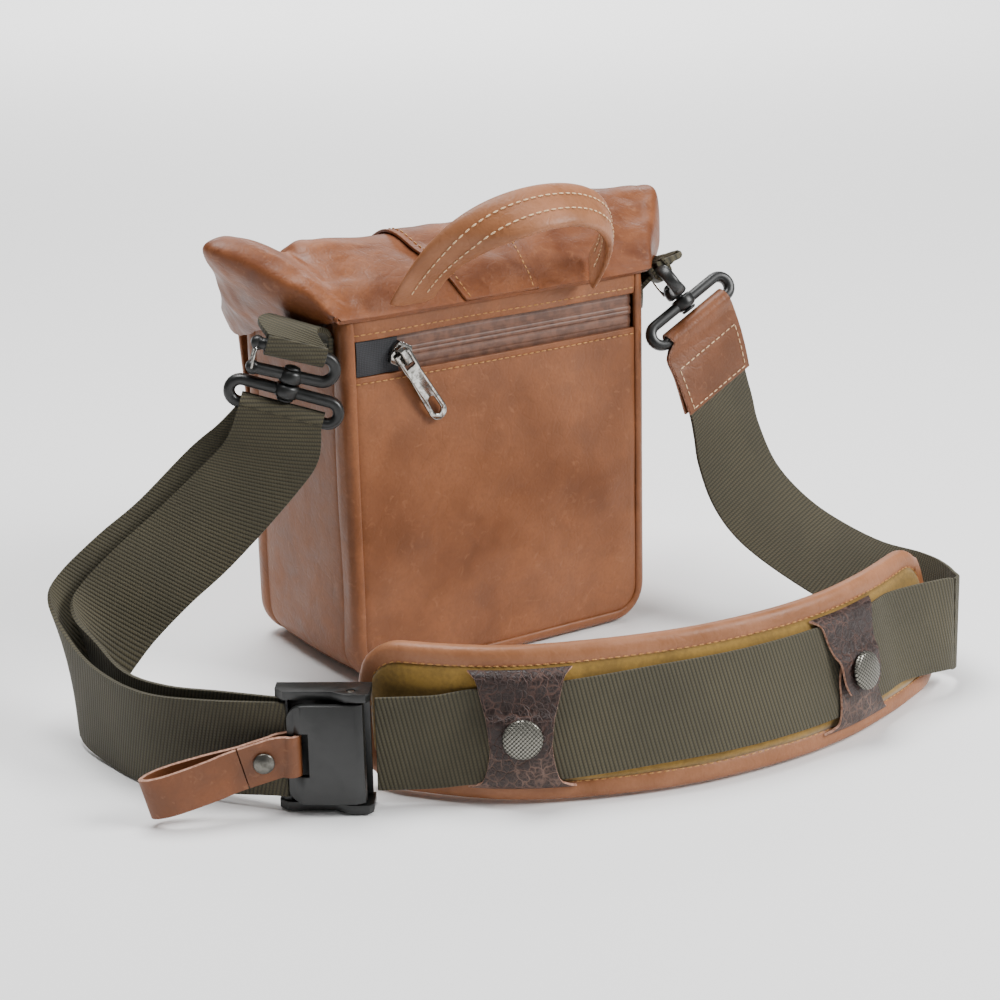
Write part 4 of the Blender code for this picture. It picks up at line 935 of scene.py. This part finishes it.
def make_handle():
    lean = math.radians(42)
    lean_up = Vector((0, -math.sin(lean), math.cos(lean)))
    out = Vector((0, -math.cos(lean), -math.sin(lean)))
    stations = []
    for k in range(33):
        turn = math.pi * k / 32
        centre = Vector((-47.5 * math.cos(turn), -49, 173)) + lean_up * 57 * math.sin(turn) ** 0.8
        twist = max(0.0, -math.cos(turn))
        tilt = (1 - abs(math.cos(turn))) * 2.2 + 0.95 * twist
        across = (Vector((math.cos(turn) * (1 - 0.55 * twist), 0, 0)) + out * tilt).normalized()
        stations.append((*centre, *across, 0.55 + 0.45 * min(4 * k / 32, 4 * (32 - k) / 32, 1.0)))
    line = frames_along(stations, 2)

    def section(u, fullness):
        a, b = oval(11.3, 2.6 * fullness, 0.66)(u, 1.0)
        groove = math.exp(-((abs(a) - 3.9) / 0.9) ** 2)
        return a, b * (1.12 - 0.14 * groove)

    bm = sweep(line, section, 40)
    add_piece("handle_leather", bm, "soft_hide", "handle", "carry_handle", round_up=1)
    for letter, place, side in (("a", -3.9, 1), ("b", 3.9, 1), ("c", -3.9, -1), ("d", 3.9, -1)):
        spots = [(c + a * place + n * 2.85 * full * side, n * side) for c, a, n, full, _ in line[2:-2]]
        stitch_row("handle_stitches_" + letter, spots, "carry_handle", "pale_thread", pitch=3.6, length=2.7, girth=0.4)


# ---------------- swivels, hooks and side tabs
SWIVELS = {
    "left": ((-105.0, -37.5, 136.5), (0.81, -0.51, -0.29), (0, 0, 1), 8.0),
    "right": ((103.0, -50.0, 147.0), (0.885, 0.0, 0.465), (-0.407, 0.488, 0.773), -108.0),
}


def swivel_frames(side):
    centre, along, up, turn = SWIVELS[side]
    ring = unit_frame(centre, along, up)
    return ring, ring @ Matrix.Rotation(math.radians(turn), 4, "Z")


def bar_through(bm, path, square, turned, closed=False):
    """A moulded bar along a path in a swivel's own XZ plane, added to a mesh."""
    line = frames_along([(x, 0, z, 0, 1, 0, 1.0) for x, z in path], 1, closed)
    part = sweep(line, oval(2.9, 2.5, square), 24, closed=closed)
    part.transform(turned)
    join_into(bm, part)


def make_swivel(side):
    ring, hook = swivel_frames(side)
    reach = 19.0
    bm = bmesh.new()
    straight = [reach - 38 * k / 8 for k in range(1, 8)]
    path = arc((reach, 0), 5.0, -90, 90, 12) + [(x, 5.0) for x in straight]
    path += arc((-reach, 0), 5.0, 90, 270, 12) + [(-x, -5.0) for x in straight]
    bar_through(bm, path, 0.8, ring, closed=True)
    boss = [(0, 1.9), (3.6, 1.9), (5.0, 2.6), (5.4, 4.0), (5.4, 6.6), (4.8, 7.9), (3.4, 8.1), (0, 8.1)]
    join_into(bm, turned_piece(boss, ring))
    add_piece("ring_" + side, bm, "nylon", "strap_ring_" + side)

    bm = bmesh.new()
    path = [(-16.6 + 1.66 * k, 12) for k in range(11)] + [(4, 12), (8, 12)]
    path += arc((12.5, 17.5), 5.5, -90, 90, 12) + [(8 - 2.5 * k, 23) for k in range(1, 11)]
    bar_through(bm, path, 0.75, hook)
    knuckle = [(0, -2.6), (2.0, -2.6), (2.9, -1.8), (2.9, 1.8), (2.0, 2.6), (0, 2.6)]
    for spot in ((-16.8, 0, 12), (-17.2, 0, 23)):
        place = hook @ Matrix.Translation(mm(spot)) @ Matrix.Rotation(math.pi / 2, 4, "X")
        join_into(bm, turned_piece(knuckle, place))
    boss = [(0, 8.6), (3.6, 8.6), (5.0, 9.4), (5.2, 10.6), (5.0, 13.2), (4.0, 14.6), (0, 14.6)]
    join_into(bm, turned_piece(boss, hook))
    body = "swivel_hook_" + side
    add_piece("snap_hook_" + side, bm, "nylon", "hook_" + side, body)
    rivet = [(0, 0.4), (3.0, 0.4), (3.6, 0.9), (3.6, 1.6), (1.9, 1.7)]
    rivet += [(1.9, 14.8), (3.6, 14.9), (3.4, 15.7), (2.2, 16.2), (0, 16.3)]
    add_piece("rivet_" + side, turned_piece(rivet, ring), "nylon", "swivel_rivet_" + side, slot="pewter")

    wire = [(-17.4, -3.2, 12.0), (-17.6, -3.3, 15), (-17.7, -3.3, 18.5), (-17.6, -2.9, 21.0), (-17.4, 0, 21.6)]
    wire = wire + [(x, -y, z) for x, y, z in wire[-2::-1]]
    line = frames_along([(*p, 1, 0, 0, 1.0) for p in wire], 4)
    gate = sweep(line, oval(0.65, 0.65), 12)
    gate.transform(hook)
    add_piece("gate_" + side, gate, "chrome", "wire_gate_" + side, "hook_gate_" + side)

    fold = [(-3.4, 5.0)] + arc((0, 0), 3.8, -190, 10, 12) + [(3.5, 5.0)]
    line = strip_line([(-0.8, y, 23 + z, 1, 0, 0) for y, z in fold], 26.0, 2)
    bm = ribbon(line, 16, 26)
    bm.transform(hook)
    add_piece("tab_" + side, bm, "webbing", "tab_loop_" + side, body, thick=1.6, edge=0.4)


TAB_STRIPS = {
    "left": [(-99.5, -33.5, 167.8, 0.75, -0.62, -0.2), (-93.0, -30.5, 167.6, 0.6, -0.75, -0.2),
             (-87.2, -27.5, 163.0, 0.4, -0.9, -0.1), (-84.0, -26.0, 156.5, 0.2, -1, 0)],
    "right": [(97.0, -38.6, 170.0, -0.1, 0.8, -0.3), (98.0, -36.5, 171.2, -0.1, 0.85, -0.3),
              (96.5, -33.5, 169.0, 0, 0.95, -0.1), (90.5, -29.0, 164.0, 0, 1, 0), (84.0, -26.0, 157.0, 0, 1, 0)],
}


def make_tab_strip(side):
    """The doubled webbing between the hook's loop and the bag's side; it bends where the hook turns."""
    _, hook = swivel_frames(side)
    top = hook @ mm((-0.8, 0, 26.4))
    across = hook.to_3x3() @ Vector((1, 0, 0))
    toward = 1 if across.dot(Vector(TAB_STRIPS[side][0][3:])) > 0 else -1
    start = [(*(top * 1000), *across, 25.6)]
    rest = [(*spot[:3], *(Vector(spot[3:]) * toward), 26.0 if side == "left" else 20.0) for spot in TAB_STRIPS[side]]
    line = frames_along(start + rest, 5)
    bm = ribbon(line, 12, 26)
    anchor = mm(TAB_STRIPS[side][-2][:3])
    add_piece(
        "tab_strip_" + side, bm, "webbing", thick=2.6, edge=0.5, bends=("swivel_hook_" + side, anchor, top)
    )


def make_tab_anchor(side):
    """The tab's sewn end and the webbing that runs from it toward the hook, kept on the bag."""
    sign = -1 if side == "left" else 1

    def place(u, v):
        return (sign * (81.9 + 0.4 * math.sin(math.pi * v)), -40 + 28 * u, 149.5 + 12 * v)

    bm = grid_sheet(14, 8, place, (mm(28), mm(12)))
    add_piece("tab_patch_" + side, bm, "webbing", "tab_anchor_" + side, thick=2.6, edge=0.5)


# ---------------- the strap
def ring_stations(turned, side):
    """Webbing round a ring's lower bar, from the top of the bar down one face."""
    turn = turned.to_3x3()
    across = turn @ Vector((1, 0, 0))
    stations = []
    for angle in (81, 62, 41, 20, 0, -18):
        reach = Vector((0, side * math.cos(math.radians(angle)), math.sin(math.radians(angle)))) * 4.0
        stations.append((*(turn @ (Vector((0, 0, -5)) + reach) + turned.translation * 1000), *across, 36.5))
    return stations


LEFT_INNER = [
    (-111.5, -38, 117, 0.77, -0.57, -0.29), (-119.5, -33.5, 105, 0.70, -0.60, -0.38),
    (-144, -23, 79, 0.55, -0.59, -0.59),
    (-163, -17, 63, 0.54, -0.56, -0.63), (-181, -13, 46, 0.52, -0.50, -0.69), (-192, -18, 34, 0.30, -0.25, -0.92),
    (-197, -34, 26, 0, 0, -1), (-197, -60, 21.5, 0, 0, -1), (-191, -86, 22.5, 0, 0, -1),
    (-178, -109, 24.5, 0, 0, -1), (-165.3, -130, 26, 0, 0, -1), (-162.0, -134.0, 26, 0, 0, -1),
]
LEFT_OUTER = [
    (-111, -27, 119, 0.78, -0.56, -0.29), (-122, -21, 107.5, 0.70, -0.60, -0.40), (-147, -13, 82, 0.55, -0.59, -0.59),
    (-166, -7, 67, 0.54, -0.56, -0.63), (-186, -3, 50, 0.50, -0.48, -0.72), (-199, -8, 37, 0.28, -0.22, -0.93),
    (-205, -28, 24, 0, 0, -1), (-204.5, -57, 20.6, 0, 0, -1), (-199.5, -86, 21, 0, 0, -1),
    (-185.5, -110.5, 23, 0, 0, -1), (-170.2, -131.6, 25.5, 0, 0, -1), (-167.6, -135.4, 26, 0, 0, -1),
    (-164.8, -138.7, 26, 0, 0, -1),
]
RISE = [
    (112.8, -59.3, 105.6, 0.91, 0.15, 0.37), (114.2, -61, 96, 0.93, 0.12, 0.33), (115, -64, 84, 0.94, 0.08, 0.32),
    (117, -73, 67, 0.95, 0.0, 0.30), (121, -86, 54, 0.92, -0.15, 0.35), (126.5, -103, 44.5, 0.86, -0.28, 0.42),
    (134, -130, 36, 0.74, -0.32, 0.58), (141, -158, 32, 0.45, -0.20, 0.87), (144.3, -180, 28.6, 0.12, 0.0, 0.99, 42.5),
    (143.9, -187.5, 28.0, 0, 0, 1, 43), (141.2, -193.4, 28.2, 0, 0, 1, 43), (136.6, -196.3, 28.8, 0, 0.02, 1, 42.5),
]
STRAP_END = [
    (105.2, -54.6, 137.0, 0.89, 0.03, 0.45), (107.6, -57.0, 128.0, 0.90, 0.06, 0.43),
    (109.8, -58.2, 119.0, 0.91, 0.1, 0.40), (112.1, -58.9, 109.4, 0.91, 0.15, 0.37),
]


def webbing(name, stations, node, steps=5):
    line = strip_line(stations, 40.0, steps)
    bm = ribbon(line, 12, 40)
    add_piece(name, bm, "webbing", node, thick=1.6, edge=0.45)
    return line


def make_webbing():
    ring, _ = swivel_frames("left")
    inner = webbing("strap_left_inner", ring_stations(ring, -1) + LEFT_INNER, "webbing_left_inner")
    webbing("strap_left_outer", ring_stations(ring, 1) + LEFT_OUTER, "webbing_left_outer")
    tucked = (111.2, -58.7, 112.5, 0.91, 0.14, 0.38)
    webbing("strap_right_rise", [tucked] + RISE, "webbing_right_rise")
    total = inner[-1][4]
    for name, back in (("strap_stitches_a", 20.0), ("strap_stitches_b", 28.0)):
        c, a, n, _, _ = min(inner, key=lambda s: abs(total - back - s[4]))
        toward = -1 if n.y > 0 else 1
        spots = [(c + a * (-17 + 34 * k / 12) + n * toward * 0.85, n * toward) for k in range(13)]
        stitch_row(name, spots, finish="dark_thread", pitch=2.4, length=1.9, girth=0.4)


def make_strap_end():
    ring, _ = swivel_frames("right")
    turn = ring.to_3x3()
    across = turn @ Vector((1, 0, 0))
    front, back = [], []
    for i, station in enumerate(STRAP_END):
        span = Vector(STRAP_END[min(i + 1, 3)][:3]) - Vector(STRAP_END[max(i - 1, 0)][:3])
        out = Vector(station[3:]).cross(span).normalized()
        part = 0.95 + (0.35 if i == 2 else 0.75 if i == 3 else 0.0)
        front.append((*(Vector(station[:3]) + out * part), *station[3:]))
        back.append((*(Vector(station[:3]) - out * part), *station[3:]))
    near, other = (front, back) if front[0][1] < back[0][1] else (back, front)
    fold = []
    for k in range(9):
        angle = math.radians(-30 + 30 * k)
        reach = Vector((0, -math.cos(angle), math.sin(angle))) * 3.85
        fold.append((*(turn @ (Vector((0, 0, -5)) + reach) + ring.translation * 1000), *across, 36.5))
    line = strip_line(near[::-1] + fold + other, 43.0, 4)
    bm = ribbon(line, 14, 43)
    add_piece("strap_end", bm, "strap_hide", "strap_end_leather", rim="cut_edge", thick=1.5, edge=0.35)
    face = strip_line(near, 43.0, 12)
    toward = 1 if face[0][2].y < 0 else -1
    rows = {"left": [], "right": []}
    for c, a, n, w, _ in face[9:-3]:
        for name, sign in (("left", -1), ("right", 1)):
            rows[name].append((c + a * sign * (w / 2 - 3) + n * toward * 0.75, n * toward))
    for name, (c, a, n, w, _) in (("low", face[-4]), ("high", face[9])):
        rows[name] = [(c + a * (w - 6) * (k / 12 - 0.5) + n * toward * 0.75, n * toward) for k in range(13)]
    for name, spots in rows.items():
        stitch_row("end_stitches_" + name, spots, finish="pale_thread", pitch=3.4, length=2.6)


# ---------------- the shoulder pad
ADJUSTER = Vector((-151.8, -145.5, 26.0))
ADJUSTER_ALONG = Vector((0.81, -0.586, 0.0)).normalized()
ADJUSTER_OUT = Vector((ADJUSTER_ALONG.y, -ADJUSTER_ALONG.x, 0))
PAD_CURVE = [
    (-130.0, -134.0), (-118.0, -156.0), (-92.0, -185.0), (-60.0, -203.5), (-21.0, -216.5),
    (20.0, -221.0), (58.0, -218.0), (93.0, -208.0), (122.5, -195.8), (134.5, -190.2), (139.5, -187.6),
]
PAD_PATH = smooth_path(PAD_CURVE, 12)
PAD_RUN = [0.0]
for near_spot, far_spot in zip(PAD_PATH, PAD_PATH[1:]):
    PAD_RUN.append(PAD_RUN[-1] + math.dist(near_spot, far_spot))
PAD_LENGTH = PAD_RUN[-1]


def pad_point(along, height, out):
    """A point at a length along the pad, a height up its face and a distance out of it."""
    index = 0
    while index < len(PAD_RUN) - 2 and PAD_RUN[index + 1] < along:
        index += 1
    part = (along - PAD_RUN[index]) / (PAD_RUN[index + 1] - PAD_RUN[index])
    a, b = Vector(PAD_PATH[index]), Vector(PAD_PATH[index + 1])
    place = a.lerp(b, part)
    before = (a - Vector(PAD_PATH[max(index - 1, 0)])) if index else b - a
    after = (Vector(PAD_PATH[index + 2]) - b) if index + 2 < len(PAD_PATH) else b - a
    start = before.normalized().lerp((b - a).normalized(), 0.5)
    end = (b - a).normalized().lerp(after.normalized(), 0.5)
    tangent = start.lerp(end, held(part)).normalized()
    front = Vector((tangent.y, -tangent.x))
    lean = math.radians(12) * ease(held(along / (PAD_LENGTH * 0.45)))
    back = front * (out * math.cos(lean) - height * math.sin(lean))
    return Vector((place.x + back.x, place.y + back.y, height * math.cos(lean) + out * math.sin(lean)))


def pad_half(along, inset):
    """Half of the pad's height at a length along it, with round corners at both ends."""
    near_end = min(along, PAD_LENGTH - along) - inset
    return 32.0 - inset - corner_inset(near_end, 22.0 - inset)


def pad_layer(name, inset, out_at, columns, rows, **kwargs):
    def place(u, v):
        slow = 0.5 - 0.5 * math.cos(math.pi * u)
        along = inset + (PAD_LENGTH - 2 * inset) * (0.45 * slow + 0.55 * u)
        half = pad_half(along, inset)
        height = half * (2 * v - 1)
        return pad_point(along, 33.2 + height, out_at(along, height, half))
    return add_piece(name, grid_sheet(columns, rows, place), **kwargs)


def make_pad():
    def face(along, height, half):
        rim = min(half - abs(height), along - 8.4, PAD_LENGTH - along - 8.4)
        return 0.1 + 1.1 * held(rim / 6) ** 0.5 + ripple((along, height, 0), 18.0, 0.35)

    def back(along, height, half):
        rim = min(half - abs(height), along - 7.4, PAD_LENGTH - along - 7.4)
        return -4.2 - 2.6 * held(rim / 12) ** 0.5 + ripple((along, height, 7), 26.0, 0.7)

    pad_layer("pad_suede", 8.0, face, 110, 20, finish="suede", stands_for="pad_facing", thick=1.0)
    cushion = pad_layer(
        "pad_cushion_leather", 6.4, back, 110, 20, finish="cowhide", stands_for="pad_cushion", thick=1.6
    )
    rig.padded(cushion, fill=0.7)
    inset, count = 5.0, 60
    rim_path = []
    for sign, turns in ((1, range(count)), (-1, range(count, 0, -1))):
        for k in turns:
            slow = 0.5 - 0.5 * math.cos(math.pi * k / count)
            along = inset + (PAD_LENGTH - 2 * inset) * (0.55 * slow + 0.45 * k / count)
            rim_path.append((along, sign * pad_half(along, inset)))
    stations = []
    for along, height in rim_path:
        centre = pad_point(along, 33.2 + height, -2.9)
        out = pad_point(along, 33.2 + height, 1.0) - centre
        stations.append((*centre, *out.normalized(), 1.0))
    rim = sweep(frames_along(stations, 2, closed=True), oval(3.9, 4.9, 0.8), 24, closed=True)
    add_piece("pad_rolled_edge", rim, "soft_hide", "pad_binding")
    spots = []
    sewn = 7.6
    for along, height in rim_path + rim_path[:1]:
        place = sewn + (PAD_LENGTH - 2 * sewn) * (along - inset) / (PAD_LENGTH - 2 * inset)
        base = pad_point(place, 33.2 + math.copysign(pad_half(place, sewn), height), 0.62)
        spots.append((base, pad_point(place, 33.2, 5.0) - pad_point(place, 33.2, 0.0)))
    stitch_row("pad_stitches", spots, length=2.4)
    stitch_row("pad_stitches_back", [(p - o.normalized() * 7.3, -o) for p, o in spots], length=2.4)


def make_pad_webbing():
    start = ADJUSTER + ADJUSTER_ALONG * 20.5 - ADJUSTER_OUT * 3.4
    stations = [(*start, 0, 0, 1), (-121.5, -162.8, 26.3, 0, 0, 1), (-113.0, -169.0, 26.9, 0, 0, 1)]
    for length in range(52, int(PAD_LENGTH) - 24, 18):
        height = 28.9 + 4.2 * min((length - 52) / 80.0, 1.0)
        low, high = pad_point(length, height - 10, 3.05), pad_point(length, height + 10, 3.05)
        stations.append((*((low + high) / 2), *(high - low).normalized()))
    stations += [(129.5, -198.4, 30.8, 0, 0.10, 0.99, 41.5), (136.0, -196.6, 28.9, 0, 0.03, 1, 42.5)]
    webbing("strap_over_pad", stations, "webbing_over_pad")


def keeper_flap(name, node, body, along, rows, finish):
    line = smooth_path([(i / (len(rows) - 1), *row) for i, row in enumerate(rows)], 6)
    last = len(line) - 1

    def place(u, v):
        share, height, out = line[round(v * last)]
        half = 21.8 - 10.0 * math.sin(share * math.pi / 2)
        half -= 2.6 * max(0.0, (share - 0.86) / 0.14) ** 2
        wave = ripple((along, height, 40 * u), 12.0, 0.3)
        return pad_point(along + half * (2 * u - 1), height, out + 0.65 + wave * 0.5)

    bm = grid_sheet(22, last, place)
    add_piece(name, bm, finish, node, body, rim="cut_edge", thick=1.25, edge=0.25)


def make_keeper(side, along):
    upper = [(56.0, 1.0), (54.6, 3.0), (52.0, 4.2), (45.0, 4.5), (39.5, 5.6), (36.0, 7.5), (29.0, 7.7), (21.5, 7.5)]
    lower = [(7.6, 1.0), (9.0, 3.0), (11.6, 4.2), (20.0, 4.4), (34.0, 4.4)]
    for part, name, rows, finish in (("upper", "top", upper, "crackle"), ("lower", "base", lower, "crackle_grey")):
        body = f"keeper_flap_{part}_{side}"
        keeper_flap(f"keeper_{name}_{side}", f"keeper_{part}_{side}", body, along, rows, finish)
    base = pad_point(along, 30.0, 0.0)
    out = (pad_point(along, 30.0, 10.0) - base).normalized()
    turned = unit_frame(base, pad_point(along + 5, 30.0, 0.0) - pad_point(along - 5, 30.0, 0.0), out)
    cap = [(0, 9.3), (7.4, 9.3), (8.1, 9.8), (8.2, 10.5), (7.9, 11.1)]
    cap += [(7.3, 11.5), (6.6, 11.7), (4.0, 12.15), (2.0, 12.3), (0, 12.35)]
    add_piece("cap_" + side, turned_piece(cap, turned, 48), "cap", "snap_cap_" + side, "keeper_flap_upper_" + side)
    hard_part("snap_stud_" + side, "pewter", "keeper_flap_lower_" + side, 0.2)


# ---------------- the adjuster and its pull tab
def adjuster_frame():
    up = ADJUSTER_ALONG.cross(ADJUSTER_OUT)
    turned = Matrix((ADJUSTER_ALONG, ADJUSTER_OUT, up)).transposed().to_4x4()
    turned.translation = mm(ADJUSTER)
    return turned


def make_adjuster():
    hard_part("adjuster_frame", "nylon", edge=0.8)
    plan = [(30.0, -30.0), (30.0, 30.0)] + arc((-7.0, 14.4), 6.6, 90, 180, 8) + arc((-7.0, -14.4), 6.6, 180, 270, 8)
    tool = bmesh.new()
    face = tool.faces.new([tool.verts.new(mm((x, 0.0, z))) for x, z in plan])
    pushed = bmesh.ops.extrude_face_region(tool, geom=[face])["geom"]
    bmesh.ops.translate(tool, vec=mm((0, 20, 0)), verts=[v for v in pushed if isinstance(v, bmesh.types.BMVert)])
    bmesh.ops.recalc_face_normals(tool, faces=tool.faces)
    tool.transform(adjuster_frame() @ Matrix.Translation(mm((0, -6, 0))))
    add_piece("lever_plate", trimmed(merged_copy("adjuster_lever"), tool), "nylon", "adjuster_lever", "lever", edge=0.8)
    hard_part("lever_pin", "pewter")
    start = adjuster_frame() @ mm((-12.25, 6.3, 0.0))
    turned = unit_frame(start * 1000, (-0.904, 0.438, 0.0), (0, 0, 1))
    path = [(19.0, 1.3), (12.0, 1.3), (6.6, 1.3), (4.6, 1.8)] + arc((0.0, 0.0), 3.3, 48, 312, 12)
    path += [(4.6, -1.8), (6.6, -1.3), (12.0, -1.3), (20.0, -1.3), (32.0, -3.5), (46.0, -4.7), (54.0, -3.3)]
    path += [(57.5, 0.0), (54.0, 3.3), (46.0, 4.7), (32.0, 3.5), (25.0, 1.9), (19.6, 1.3)]
    stations = [(x, y, -0.27 * max(x - 4, 0), 0.26 if x > 4 else 0, 0, 1) for x, y in path]
    line = strip_line(stations, 17.0, 4)
    bm = ribbon(line, 10, 17)
    bm.transform(turned)
    add_piece("pull_tab_leather", bm, "strap_hide", "pull_tab", "release_tab", rim="cut_edge", thick=1.9, edge=0.45)
    spot = turned @ Matrix.Translation(mm((11.0, 0, -1.9))) @ Matrix.Rotation(-math.pi / 2, 4, "X")
    rivet = [(0, -4.1), (3.6, -4.0), (4.2, -3.4), (4.2, -2.7), (1.5, -2.6), (1.5, 2.6)]
    rivet += [(4.2, 2.7), (4.3, 3.4), (3.9, 3.9), (3.0, 4.0), (2.6, 4.4), (0, 4.6)]
    add_piece("tab_rivet", turned_piece(rivet, spot, 36), "pewter", "pull_tab_rivet", "release_tab")


# ---------------- camera, floor and light
def make_camera():
    turn, height, roll = math.radians(-32.78), math.radians(17.97), math.radians(-1.33)
    back = Vector((math.sin(turn) * math.cos(height), -math.cos(turn) * math.cos(height), math.sin(height)))
    right = (-back).cross(Vector((0, 0, 1))).normalized()
    up = right.cross(-back)
    x = right * math.cos(roll) + up * math.sin(roll)
    y = -right * math.sin(roll) + up * math.cos(roll)
    data = bpy.data.cameras.new("Camera")
    data.sensor_width = 36.0
    data.lens = 2.52753 * data.sensor_width
    camera = new_object("Camera", data)
    view = Matrix((x, y, back)).transposed().to_4x4()
    view.translation = mm(right * 23.32 + Vector((0, 0, 61.35)) + back * 1187.13)
    camera.matrix_world = view
    bpy.context.scene.camera = camera


def make_light(name, place, size, power, aim=(0, -0.05, 0.08)):
    data = bpy.data.lights.new(name, "AREA")
    data.shape = "RECTANGLE"
    data.size, data.size_y = size
    data.energy = power
    turned = (Vector(place) - Vector(aim)).to_track_quat("Z", "Y").to_matrix().to_4x4()
    new_object(name, data).matrix_world = Matrix.Translation(place) @ turned


def make_studio():
    bm = bmesh.new()
    bmesh.ops.create_grid(bm, x_segments=1, y_segments=1, size=14.0)
    mesh = bpy.data.meshes.new("floor")
    bm.to_mesh(mesh)
    bm.free()
    mesh.transform(Matrix.Translation((0, 0, -0.0005)))
    mesh.materials.append(Finish("White paper", base="#FCFCFC", rough=0.9).made)
    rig.stage(new_object("floor", mesh))
    world = bpy.data.worlds.new("Studio")
    bpy.context.scene.world = world
    world.use_nodes = True
    light = world.node_tree.nodes["Background"].inputs
    light["Color"].default_value = (1, 1, 1, 1)
    light["Strength"].default_value = 0.2
    make_light("Key", (0.95, -1.25, 1.1), (0.75, 0.75), 42.0)
    make_light("Top", (-0.15, 0.2, 1.5), (0.9, 0.7), 31.0)
    make_light("Floor wash", (1.3, 2.2, 1.5), (2.4, 1.6), 95.0, (1.5, 2.4, 0))


# ---------------- build
make_camera()
make_gusset()
make_panels()
make_zip()
make_inside()
make_lid()
make_flap()
make_handle()
for hand in ("left", "right"):
    make_swivel(hand)
    make_tab_strip(hand)
    make_tab_anchor(hand)
make_webbing()
make_strap_end()
make_pad()
make_pad_webbing()
make_keeper("left", 71.0)
make_keeper("right", 229.0)
make_adjuster()
make_studio()

with open("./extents.json", "w") as size_file:
    boxes = {"cad": CAD_BOX, "visual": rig.bounds()}
    json.dump({key: [[float(c) for c in corner] for corner in box] for key, box in boxes.items()}, size_file)
